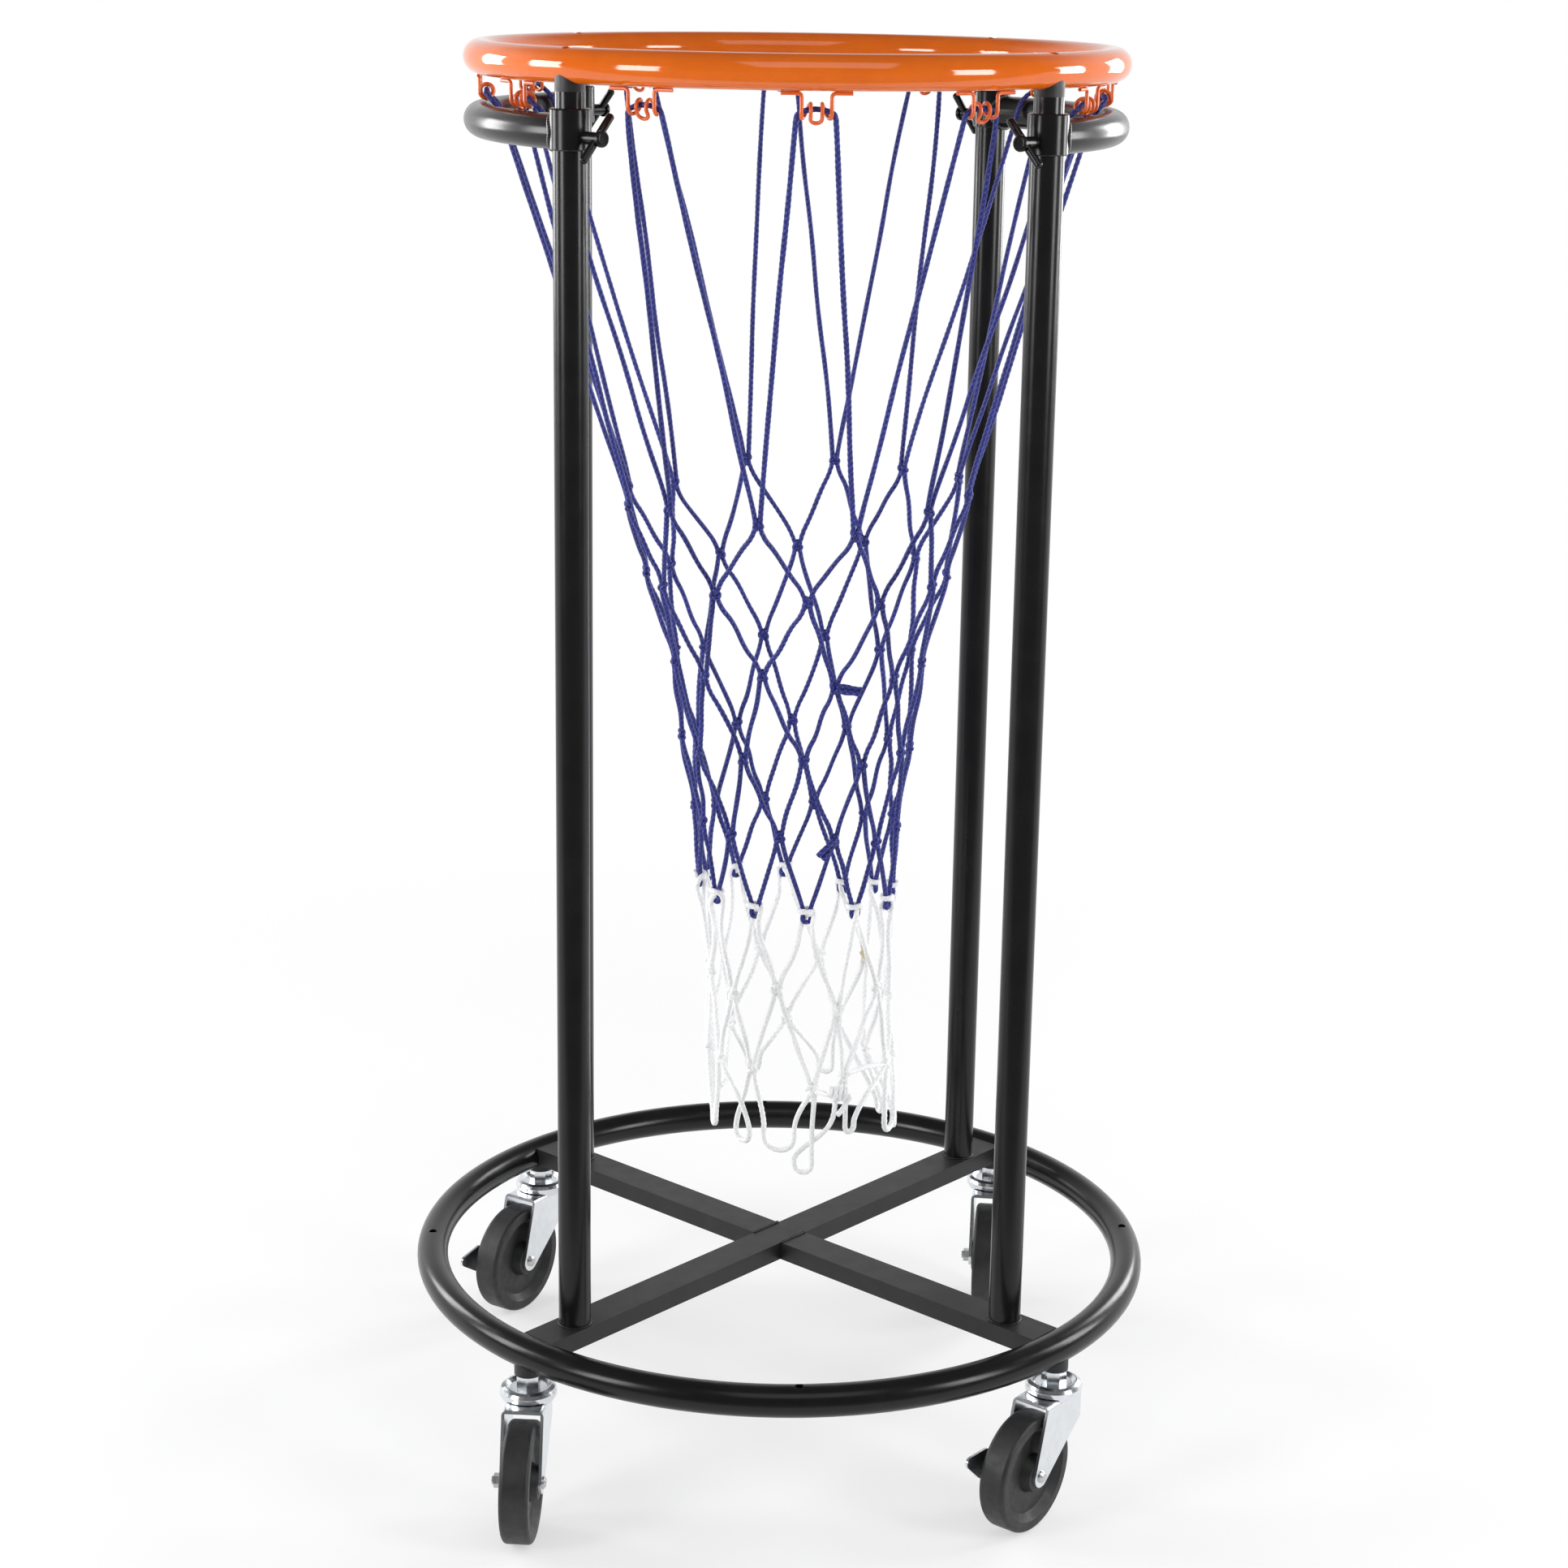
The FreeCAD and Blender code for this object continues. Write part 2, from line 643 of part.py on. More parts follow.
def rounded_path(points, radii):
    """A wire of straight runs joined by tangent arcs; radii holds one radius for each inner point."""
    edges = []
    start = points[0]
    for before, corner, after, radius in zip(points, points[1:], points[2:], radii):
        arrive = (corner - before).normalize()
        leave = (after - corner).normalize()
        turn = arrive.getAngle(leave)
        back = radius * math.tan(turn / 2)
        bend_start = corner - arrive * back
        bend_end = corner + leave * back
        inward = (leave - arrive).normalize()
        middle = corner + inward * (radius / math.cos(turn / 2) - radius)
        if (bend_start - start).Length > 0.01:
            edges.append(Part.LineSegment(start, bend_start).toShape())
        edges.append(Part.Arc(bend_start, middle, bend_end).toShape())
        start = bend_end
    if (points[-1] - start).Length > 0.01:
        edges.append(Part.LineSegment(start, points[-1]).toShape())
    return Part.Wire(edges)


def swept_rod(path, radius):
    """A round rod along a path, checked against its section times its length."""
    start = path.Edges[0]
    direction = start.tangentAt(start.FirstParameter)
    section = Part.Wire(Part.Circle(path.Edges[0].Vertexes[0].Point, direction, radius).toShape())
    rod = path.makePipeShell([section], True, False)
    expected = math.pi * radius * radius * path.Length
    if abs(rod.Volume - expected) > 0.01 * expected:
        raise RuntimeError("a swept rod has volume %.1f, not %.1f" % (rod.Volume, expected))
    return rod


def around_ring(angle, sideways, inward, drop):
    """A point near the hoop: sideways along it, inward to its axis, and a drop below its centre plane."""
    turn = Rotation(UP, angle)
    return turn.multVec(Vector(hoop_r.value - inward, sideways, hoop_z.value - drop))


def hook_shape(bottom_drop):
    """One hook at angle 0: a foot, a leg, a coil, the middle loop, and the same back again."""
    wire_r = SIZE["hook_wire"].value / 2
    foot_drop = tube_r.value + wire_r
    coil_r = SIZE["hook_coil"].value
    coil_drop = SIZE["hook_coil_drop"].value
    leg = SIZE["hook_leg_gap"].value / 2
    loop = SIZE["hook_loop_gap"].value / 2
    corners_per_turn = 8
    step = 360 / corners_per_turn
    reach = coil_r / math.cos(math.radians(step / 2))
    foot_bend = wire_r * 2
    move_starts = step * 1.5
    move_ends = step * 5.5
    half = [(SIZE["hook_span"].value / 2, 0, foot_drop), (leg, 0, foot_drop)]
    radii = [foot_bend]
    for corner in range(corners_per_turn + 1):
        turned = step * (corner + 0.5)
        moved = (turned - move_starts) / (move_ends - move_starts)
        sideways = leg + (loop - leg) * max(0, min(1, moved))
        inward = coil_r - reach * math.cos(math.radians(turned))
        drop = coil_drop + reach * math.sin(math.radians(turned))
        half.append((sideways, inward, drop))
        radii.append(coil_r * FITTED_BEND)
    half.append((loop, SIZE["hook_lean"].value, bottom_drop))
    radii.append(min(loop, bottom_drop - coil_drop) * FITTED_BEND)
    points = [around_ring(0, *place) for place in half]
    points += [around_ring(0, -sideways, inward, drop) for sideways, inward, drop in reversed(half)]
    path = rounded_path(points, radii + radii[::-1])
    return swept_rod(path, wire_r)


def shape_node(label, shape):
    feature = doc.addObject("Part::Feature", "Shape")
    feature.Label = label
    feature.Shape = shape
    feature.Placement = FreeCAD.Placement()
    keep(feature)


def build_hooks():
    """The hooks set evenly round the hoop. The loops of those over a handle stay clear of it."""
    full = hook_shape(SIZE["hook_bottom_drop"].value)
    short = hook_shape(SIZE["hook_short_drop"].value)
    hooks = []
    for index in range(HOOK_COUNT):
        angle = index * STEP
        hook = short.copy() if over_handle(angle) else full.copy()
        hook.rotate(Vector(0, 0, 0), UP, angle)
        hooks.append(hook)
    shape_node("net_hooks", Part.makeCompound(hooks))


# Net. Its knots hang in rows, each half a step round from the row above. A row has its radius
# and how far the slack net swings towards +X there, then the angle of each knot, in degrees
# round from +X, and its drop below the centre plane of the hoop.

STEP = 360 / HOOK_COUNT

KNOTS_A = (138, 6, [
    (17, 329), (48, 333), (74, 330), (105, 330), (134, 345), (166, 336),
    (193, 339), (221, 331), (254, 336), (285, 343), (313, 331), (341, 328),
])
KNOTS_B = (121, 7, [
    (6, 403), (34, 399), (60, 394), (87, 401), (119, 405), (146, 407),
    (178, 399), (206, 399), (235, 396), (270, 398), (298, 401), (326, 395),
])
KNOTS_C = (102, 8, [
    (22, 472), (45, 479), (74, 473), (103, 472), (136, 475), (163, 470),
    (193, 467), (221, 469), (251, 461), (283, 469), (314, 468), (341, 465),
])
KNOTS_D = (93, 8, [
    (5, 545), (32, 547), (60, 548), (89, 544), (119, 544), (149, 543),
    (180, 532), (210, 535), (240, 532), (270, 530), (300, 537), (330, 535),
])
KNOTS_E = (84, 8, [
    (15, 606), (44, 618), (76, 613), (105, 609), (139, 606), (167, 596),
    (204, 596), (229, 598), (258, 595), (288, 598), (317, 606), (344, 603),
])
BLUE_BIGHTS = (80, 9, [
    (2, 668), (32, 678), (57, 686), (93, 675), (125, 671), (153, 667),
    (188, 655), (214, 659), (243, 663), (273, 665), (303, 665), (335, 668),
])
KNOTS_F = (75, 13, [
    (5, 738), (38, 736), (73, 745), (113, 738), (146, 738), (172, 726),
    (192, 728), (221, 735), (253, 725), (291, 743), (325, 734), (351, 750),
])
KNOTS_G = (77, 15, [
    (2, 806), (40, 818), (62, 803), (95, 801), (137, 797), (165, 790),
    (184, 796), (208, 795), (236, 795), (274, 809), (294, 799), (333, 801),
])
WHITE_LOOPS = (77, 18, [
    (10, 872), (28, 878), (65, 862), (102, 860), (136, 859), (160, 856),
    (194, 860), (227, 860), (252, 862), (267, 880), (296, 848), (350, 866),
])


class Knot:
    """A knot of two round halves side by side. Each cord leaves from the half on its own side."""

    def __init__(self, row, index, lower=0.0):
        radius, shift, places = row
        angle, drop = places[index % HOOK_COUNT]
        turn = Rotation(UP, angle)
        self.outward = turn.multVec(Vector(1, 0, 0))
        self.aside = turn.multVec(Vector(0, 1, 0))
        self.centre = turn.multVec(Vector(radius, 0, hoop_z.value - drop - lower)) + Vector(shift, 0, 0)

    def half(self, side):
        return self.centre + self.aside * side * (SIZE["knot_spread"].value / 2)

    def solids(self):
        """Both halves, with their poles and seams turned away from the cords."""
        made = []
        for side in (-1, 1):
            facing = Rotation(self.outward, UP, self.aside * side, "ZXY")
            ball = Part.makeSphere(SIZE["knot_half"].value / 2)
            ball.Placement = FreeCAD.Placement(self.half(side), facing)
            made.append(ball)
        return made

    def leave(self, side, target):
        """Where a cord to a target comes out: just inside the skin of the half on its side."""
        middle = self.half(side)
        skin = math.sqrt((SIZE["knot_half"].value / 2) ** 2 - (SIZE["cord"].value / 2) ** 2)
        return middle + (target - middle).normalize() * skin * KNOT_SKIN


def cord_between(upper, lower, side):
    """A straight cord from the given side of an upper knot to the facing side of a lower one."""
    start = upper.leave(side, lower.half(-side))
    end = lower.leave(-side, upper.half(side))
    run = end - start
    return Part.makeCylinder(SIZE["cord"].value / 2, run.Length, start, run)


def knots_of(row, lower=0.0):
    return [Knot(row, index, lower) for index in range(HOOK_COUNT)]


def net_cords(upper, lower, first_side):
    """Both cords down from each knot of a row. Rows lie half a step before or behind each other."""
    cords = []
    for index, knot in enumerate(upper):
        for side in (-1, 1):
            place = index + (side + first_side) // 2
            cords.append(cord_between(knot, lower[place % HOOK_COUNT], side))
    return cords


def hanging_loop(left, right, bottom, width):
    """A cord that hangs from one knot to the next, with a round bottom."""
    corners = [bottom.centre - bottom.aside * width / 2, bottom.centre + bottom.aside * width / 2]
    points = [left.leave(1, corners[0])] + corners + [right.leave(-1, corners[1])]
    radii = []
    for before, corner, after in zip(points, points[1:], points[2:]):
        turn = (corner - before).getAngle(after - corner)
        radii.append(width / 2 * FITTED_BEND / math.tan(turn / 2))
    return swept_rod(rounded_path(points, radii), SIZE["cord"].value / 2)


def over_handle(angle):
    """Hooks over a handle: those nearer to the X axis than the posts are."""
    return abs(math.cos(math.radians(angle))) > math.sqrt(0.5)


def hook_strands(index, left, right):
    """The cord from a knot up to a hook, over between its coils, and down to the next knot."""
    angle = index * STEP
    cord_r = SIZE["cord"].value / 2
    coil_r = SIZE["hook_coil"].value
    wire_r = SIZE["hook_wire"].value / 2
    between = SIZE["hook_loop_gap"].value / 2
    top = SIZE["hook_coil_drop"].value - coil_r + wire_r + cord_r + SIZE["cord_gap"].value
    leave = SIZE["strand_leave"].value
    points = []
    radii = []
    for side in (-1, 1):
        half = [around_ring(angle, side * between, coil_r, top)]
        half.append(around_ring(angle, side * leave, coil_r, SIZE["strand_drop"].value))
        bends = [cord_r * 2, cord_r * 2]
        if over_handle(angle):
            round_handle = tube_r.value + cord_r + SIZE["strand_play"].value
            rise = math.radians(SIZE["strand_rise"].value)
            inward = round_handle * math.cos(rise)
            drop = SIZE["handle_drop"].value - round_handle * math.sin(rise)
            half.append(around_ring(angle, side * (leave + cord_r), inward, drop))
            bends.append(round_handle)
        if side < 0:
            half.reverse()
            bends.reverse()
        points += half
        radii += bends
    points.insert(0, left.leave(1, points[0]))
    points.append(right.leave(-1, points[-1]))
    return swept_rod(rounded_path(points, radii), cord_r)


def joined(knots, cords):
    solids = [solid for knot in knots for solid in knot.solids()] + cords
    return solids[0].multiFuse(solids[1:])


def build_net_blue():
    rows = [knots_of(row) for row in (KNOTS_A, KNOTS_B, KNOTS_C, KNOTS_D, KNOTS_E)]
    cords = [hook_strands(index, rows[0][index - 1], rows[0][index]) for index in range(HOOK_COUNT)]
    first_side = 1
    for upper, lower in zip(rows, rows[1:]):
        cords += net_cords(upper, lower, first_side)
        first_side = -first_side
    for index, bight in enumerate(knots_of(BLUE_BIGHTS)):
        cords.append(hanging_loop(rows[-1][index - 1], rows[-1][index], bight, SIZE["bight_width"].value))
    shape_node("net_blue", joined(sum(rows, []), cords))


def build_net_white():
    below_blue = (SIZE["cord"].value + SIZE["knot_half"].value) / 2 + SIZE["cord_gap"].value
    ties = knots_of(BLUE_BIGHTS, below_blue)
    first = knots_of(KNOTS_F)
    second = knots_of(KNOTS_G)
    cords = net_cords(ties, first, -1) + net_cords(first, second, 1)
    for index, bottom in enumerate(knots_of(WHITE_LOOPS)):
        right = second[(index + 1) % HOOK_COUNT]
        cords.append(hanging_loop(second[index], right, bottom, SIZE["loop_width"].value))
    shape_node("net_white", joined(ties + first + second, cords))


# Casters. Each is made on an upright swivel axis, with its wheel trailing along its own X.

def build_sockets():
    radius = SIZE["socket_od"] / 2
    rim = ring_z - root(tube_r * tube_r - radius * radius)
    blanks = []
    tools = [ring_solid(ring_r, ring_z)]
    for frame in CASTER_FRAMES.values():
        blanks.append(frame.place(cylinder(radius, rim - socket_bottom), up=socket_bottom))
        bore = cylinder(SIZE["stud"] / 2, tube_r * 4)
        tools.append(frame.place(bore, up=socket_bottom - tube_r))
    keep(cut("caster_sockets", fused(blanks), tools))


def build_stems():
    head_top = fork_under - SIZE["side_gap"]
    head_bottom = head_top - SIZE["king_head_height"]
    pin_r = SIZE["king_pin"] / 2
    stud_r = SIZE["stud"] / 2
    head_r = SIZE["king_head"] / 2
    round_r = SIZE["stem_hexagon"] / 2
    stud_top = ring_z + SIZE["stud_end"]
    profile = [
        (0, head_bottom), (head_r, head_bottom), (head_r, head_top), (pin_r, head_top),
        (pin_r, dish_floor), (round_r, dish_floor), (round_r, socket_bottom),
        (stud_r, socket_bottom), (stud_r, stud_top), (0, stud_top),
    ]
    stems = []
    for frame in CASTER_FRAMES.values():
        stem = turned_body("stem", profile)
        flats = new_sketch(stem, "XY_Plane", lift=dish_floor)
        draw_hexagon(flats, SIZE["stem_hexagon"])
        add_pad(stem, flats, socket_bottom - dish_floor)
        stems.append(frame.place(stem))
    keep(group("caster_stems", stems))


def build_caps():
    outer = SIZE["cap_od"] / 2
    rim = SIZE["cap_rim"] / 2
    dish = SIZE["cap_dish"] / 2
    plate = SIZE["cap_plate"]
    pin_r = SIZE["king_pin"] / 2
    slope = outer - rim
    profile = [
        (pin_r, cap_floor), (outer - plate - slope / 3, cap_floor), (outer - plate, cap_floor - slope / 3),
        (outer - plate, cap_bottom), (outer, cap_bottom), (outer, cap_top - slope),
        (outer - slope / 3, cap_top - slope / 3), (rim, cap_top), (rim - plate / 2, cap_top),
        (dish, dish_floor), (pin_r, dish_floor),
    ]
    caps = []
    for frame in CASTER_FRAMES.values():
        caps.append(frame.place(turned_body("cap", profile)))
    keep(group("caster_caps", caps))


def build_balls(name, frame):
    balls = []
    for index in range(BALL_COUNT):
        ball = doc.addObject("Part::Sphere", "Ball")
        bind(ball, Radius=SIZE["ball"] / 2)
        around = as_size(360 / BALL_COUNT * index)
        along = SIZE["ball_circle"] / 2 * cosine(around)
        across = SIZE["ball_circle"] / 2 * sine(around)
        up = SIZE["fork_top"] + SIZE["ball_gap"] + SIZE["ball"] / 2
        balls.append(frame.place(ball, along=along, across=across, up=up))
    keep(group("swivel_balls_" + name, balls))


def build_fork(name, frame):
    """Pressed steel: the side outline, bent over at the top, with the wheel's room cut out."""
    body = new_body("fork_" + name)
    top = SIZE["fork_top"]
    end_r = SIZE["fork_end"]
    trail = SIZE["trail"]
    slope = SIZE["fork_slope"]
    back = SIZE["fork_back"]
    low_x = trail - end_r * sine(slope)
    low_z = axle_z - end_r * cosine(slope)
    back_z = low_z + (low_x + back) * tangent(slope)
    outline = new_sketch(body, "XZ_Plane")
    draw_polygon(outline, [
        (-back, top), (SIZE["fork_front"], top), (trail + end_r, axle_z), (trail, axle_z),
        (low_x, low_z), (-back, back_z),
    ])
    sides = add_pad(body, outline, fork_outer, both_sides=True)
    crown = top.value
    add_fillet(body, sides, SIZE["fork_bend"], lambda edge: is_crown_edge(edge, crown))
    leg_ends = new_sketch(body, "XZ_Plane")
    draw_circle(leg_ends, end_r, trail, axle_z)
    add_pad(body, leg_ends, fork_outer, both_sides=True)
    race = new_sketch(body, "XY_Plane", lift=fork_under)
    draw_circle(race, SIZE["race_od"] / 2)
    add_pad(body, race, SIZE["fork_plate"])
    room = new_sketch(body, "YZ_Plane")
    half = SIZE["fork_inner"] / 2
    draw_polygon(room, [(-half, 0), (half, 0), (half, fork_under), (-half, fork_under)])
    add_pocket(body, room, (SIZE["fork_front"] + SIZE["race_od"] + trail) * 3, both_sides=True)
    pin_hole = new_sketch(body, "XY_Plane", lift=top)
    draw_circle(pin_hole, SIZE["king_pin"] / 2 + SIZE["king_pin_play"])
    add_pocket(body, pin_hole, SIZE["fork_plate"] * 2)
    holes = new_sketch(body, "XZ_Plane")
    draw_circle(holes, SIZE["axle"] / 2, trail, axle_z)
    add_pocket(body, holes, fork_outer * 2, both_sides=True)
    keep(frame.place(body))


def is_crown_edge(edge, height):
    box = edge.BoundBox
    return abs(box.ZMin - height) < 0.001 and box.ZLength < 0.001 and box.YLength < 0.001


def build_wheel(name, frame):
    width = SIZE["wheel_width"] / 2
    web = SIZE["web_width"] / 2
    hub = hub_width / 2
    tread_r = SIZE["wheel_od"] / 2
    rim_r = SIZE["rim_inner"] / 2
    hub_r = SIZE["hub_od"] / 2
    bore_r = SIZE["sleeve_od"] / 2
    slope = width - web
    right = [
        (hub, bore_r), (hub, hub_r), (web, hub_r + slope / 2), (web, rim_r), (width, rim_r + slope),
        (width, tread_r),
    ]
    left = [(-across, radius) for across, radius in reversed(right)]
    body = new_body("wheel_" + name)
    sketch = new_sketch(body, "YZ_Plane")
    draw_polygon(sketch, right + left)
    turned = add_revolution(body, sketch, "H_Axis")
    tread = tread_r.value
    add_fillet(body, turned, SIZE["wheel_corner"], lambda edge: is_ring(edge, tread))
    keep(frame.place(body, along=SIZE["trail"], up=axle_z))


def is_ring(edge, radius):
    return edge.Curve.TypeId == "Part::GeomCircle" and abs(edge.Curve.Radius - radius) < 0.001


def build_sleeve(name, frame):
    body = new_body("hub_sleeve_" + name)
    sketch = new_sketch(body, "XZ_Plane")
    draw_circle(sketch, SIZE["sleeve_od"] / 2)
    draw_circle(sketch, SIZE["axle"] / 2 + SIZE["axle_play"])
    add_pad(body, sketch, hub_width, both_sides=True)
    keep(frame.place(body, along=SIZE["trail"], up=axle_z))


def build_axle(name, frame):
    """The axle bolt, with its head on the +Y side, and its nut, which holds a brake lever too."""
    half = fork_outer / 2
    nut_face = half
    if name in BRAKED:
        nut_face = half + SIZE["brake_plate"] + SIZE["brake_gap"] * 2
    head = SIZE["axle_head_height"]
    axle_r = SIZE["axle"] / 2
    head_r = SIZE["axle_head"] / 2
    nut_height = SIZE["axle"] * 0.8
    end = nut_face + nut_height + SIZE["axle"] / 4
    bolt = new_body("axle bolt")
    sketch = new_sketch(bolt, "YZ_Plane")
    draw_polygon(sketch, [
        (-end, 0), (half + head, 0), (half + head, head_r * 0.6), (half + head * 0.4, head_r),
        (half, head_r), (half, axle_r), (-end, axle_r),
    ])
    add_revolution(bolt, sketch, "H_Axis")
    frame.place(bolt, along=SIZE["trail"], up=axle_z)
    nut = new_body("axle nut")
    flats = new_sketch(nut, "XZ_Plane")
    draw_hexagon(flats, SIZE["axle_nut"])
    draw_circle(flats, axle_r)
    add_pad(nut, flats, nut_height)
    frame.place(nut, along=SIZE["trail"], across=-nut_face, up=axle_z)
    keep(group("axle_" + name, [bolt, nut]))


# Side brake: a flat lever that turns on the axle bolt, outside the leg on the -Y side

def build_brake(name, frame):
    plate = SIZE["brake_plate"]
    boss_r = SIZE["brake_boss"]
    tip_r = SIZE["brake_tip"]
    taper = SIZE["brake_taper"]
    shoulder = SIZE["brake_shoulder"]
    tip_middle = SIZE["brake_reach"] - tip_r
    tip_along = tip_middle + tip_r * sine(taper)
    tip_up = tip_r * cosine(taper)
    shoulder_up = tip_up + (tip_along - shoulder) * tangent(taper)
    leg_side = fork_outer / 2 + SIZE["brake_gap"]
    body = new_body("brake_lever_" + name)
    arm = new_sketch(body, "XZ_Plane", lift=leg_side)
    lower = [(0, -boss_r), (shoulder, -shoulder_up), (tip_along, -tip_up)]
    upper = [(tip_along, tip_up), (shoulder, shoulder_up), (0, boss_r)]
    draw_polygon(arm, lower + upper)
    add_pad(body, arm, plate)
    for middle, radius in ((0, boss_r), (tip_middle, tip_r)):
        rounded_end = new_sketch(body, "XZ_Plane", lift=leg_side)
        draw_circle(rounded_end, radius, middle, 0)
        add_pad(body, rounded_end, plate)
    hole = new_sketch(body, "XZ_Plane")
    draw_circle(hole, SIZE["axle"] / 2 + SIZE["axle_play"])
    add_pocket(body, hole, fork_outer * 2, both_sides=True)
    raised = Rotation(Vector(0, 1, 0), -SIZE[BRAKED[name]].value)
    keep(frame.place(body, along=SIZE["trail"], up=axle_z, tip=raised))


def build_casters():
    build_sockets()
    build_stems()
    build_caps()
    for name, frame in CASTER_FRAMES.items():
        build_fork(name, frame)
        build_balls(name, frame)
        build_axle(name, frame)
        build_sleeve(name, frame)
        build_wheel(name, frame)
        if name in BRAKED:
            build_brake(name, frame)


def check_document():
    """Stops if anything in the document failed."""
    for thing in doc.Objects:
        if "Invalid" in thing.State or "Error" in thing.State:
            raise RuntimeError("%s (%s) failed: %s" % (thing.Name, thing.Label, thing.State))
    for node in NODES:
        if node.Shape.isNull() or not node.Shape.isValid():
            raise RuntimeError("%s has no valid shape" % node.Label)


def write_nodes():
    os.makedirs("parts", exist_ok=True)
    for node in NODES:
        node.Shape.exportStep(os.path.join("parts", node.Label + ".step"))
        print("%-28s %2d solids %12.1f mm3" % (node.Label, len(node.Shape.Solids), node.Shape.Volume))


build_base_ring()
build_crossbars()
build_posts()
build_collars()
build_handles()
build_hoop()
build_inner_tubes()
build_saddles()
build_hoop_bolts()
build_tube_plugs()
build_clamp_screws()
build_hooks()
build_net_blue()
build_net_white()
build_casters()
doc.recompute()
check_document()
write_nodes()
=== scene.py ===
import math
import random

import bpy
import numpy as np
from mathutils import Matrix, Vector


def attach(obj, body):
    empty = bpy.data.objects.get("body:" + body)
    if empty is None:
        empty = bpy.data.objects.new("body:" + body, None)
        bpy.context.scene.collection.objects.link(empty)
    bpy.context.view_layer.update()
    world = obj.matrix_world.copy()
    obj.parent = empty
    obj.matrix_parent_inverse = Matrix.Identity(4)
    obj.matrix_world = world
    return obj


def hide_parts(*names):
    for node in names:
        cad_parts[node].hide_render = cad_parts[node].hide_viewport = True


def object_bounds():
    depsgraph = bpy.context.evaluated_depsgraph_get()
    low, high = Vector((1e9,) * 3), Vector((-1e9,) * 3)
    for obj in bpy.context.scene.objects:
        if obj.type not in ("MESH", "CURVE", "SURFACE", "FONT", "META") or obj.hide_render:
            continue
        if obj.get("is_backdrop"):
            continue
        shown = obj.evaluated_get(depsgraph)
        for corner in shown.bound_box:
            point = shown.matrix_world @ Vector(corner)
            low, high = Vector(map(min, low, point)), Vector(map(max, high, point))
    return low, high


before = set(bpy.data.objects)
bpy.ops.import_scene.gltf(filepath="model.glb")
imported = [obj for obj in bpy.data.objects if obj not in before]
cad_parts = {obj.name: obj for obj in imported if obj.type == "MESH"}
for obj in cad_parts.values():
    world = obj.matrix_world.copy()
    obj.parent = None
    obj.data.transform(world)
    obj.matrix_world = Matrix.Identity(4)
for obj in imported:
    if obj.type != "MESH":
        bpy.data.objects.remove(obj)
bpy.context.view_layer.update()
scene = bpy.context.scene

# The tubes below are worked out in millimetres and stored in metres.
MM = 0.001
UP = Vector((0, 0, 1))

# Sizes of the solids that the pieces made here meet. A drop is below the hoop's centre plane.
HOOP_R = 241.3
HOOP_Z = 1115.0
TUBE_R = 12.7
BAR_TOP = 147.0
BAR_WIDTH = 30.0
COLLAR_R = 15.0
HANDLE_DROP = 46.5
HOOK_COUNT = 12
HOOK_COIL_DROP = 26.4
HOOK_COIL = 5.0
HOOK_WIRE_R = 1.4
CORD_R = 2.0
WHITE_CORD_R = 2.25
TAIL_R = 2.3

# Net. A row of knots has its radius and how far the slack net swings towards +X there, then the
# angle of each knot, in degrees round from +X, and its drop.
KNOTS_A = (138, 6, [
    (17, 329), (48, 333), (74, 330), (105, 330), (134, 345), (166, 336),
    (193, 339), (221, 331), (254, 336), (285, 343), (313, 331), (341, 328),
])
KNOTS_B = (121, 7, [
    (6, 403), (34, 399), (60, 394), (87, 401), (119, 405), (146, 407),
    (178, 399), (206, 399), (235, 396), (270, 398), (298, 401), (326, 395),
])
KNOTS_C = (102, 8, [
    (22, 472), (45, 479), (74, 473), (103, 472), (136, 475), (163, 470),
    (193, 467), (221, 469), (251, 461), (283, 469), (314, 468), (341, 465),
])
KNOTS_D = (93, 8, [
    (5, 545), (32, 547), (60, 548), (89, 544), (119, 544), (149, 543),
    (180, 532), (210, 535), (240, 532), (270, 530), (300, 537), (330, 535),
])
KNOTS_E = (84, 8, [
    (15, 606), (44, 618), (76, 613), (105, 609), (139, 606), (167, 596),
    (204, 596), (229, 598), (258, 595), (288, 598), (317, 606), (344, 603),
])
BLUE_BIGHTS = (80, 9, [
    (2, 668), (32, 678), (57, 686), (93, 675), (125, 671), (153, 667),
    (188, 655), (214, 659), (243, 663), (273, 665), (303, 665), (335, 668),
])
KNOTS_F = (75, 13, [
    (5, 738), (38, 736), (73, 745), (113, 738), (146, 738), (172, 726),
    (192, 728), (221, 735), (253, 725), (291, 743), (325, 734), (351, 750),
])
KNOTS_G = (77, 15, [
    (2, 806), (40, 818), (62, 803), (95, 801), (137, 797), (165, 790),
    (184, 796), (208, 795), (236, 795), (274, 809), (294, 799), (333, 801),
])
# The free loops also have the width of their round bottom.
WHITE_LOOPS = (77, 18, [
    (4, 872), (28, 872), (72, 850), (120, 846), (150, 848), (168, 856),
    (194, 860), (227, 860), (252, 862), (267, 880), (296, 848), (334, 860),
])
LOOP_WIDTHS = [9, 8, 12, 12, 11, 10, 8, 17, 25, 14, 8, 20]
# These loops are crossed, and the cord of one goes up by way of a point right of its bottom.
CROSSED_LOOPS = (7, 9)
BY_WAY_OF = {9: [(24, 2, 39)]}

draw = random.Random(12)


def wobble(size):
    return Vector((draw.uniform(-size, size), draw.uniform(-size, size), draw.uniform(-size, size)))


def square_to(direction):
    """Two unit vectors square to a direction and to each other."""
    side = direction.cross(UP)
    if side.length < 0.1:
        side = direction.cross(Vector((1, 0, 0)))
    side.normalize()
    return side, direction.cross(side).normalized()


# Lines and tubes

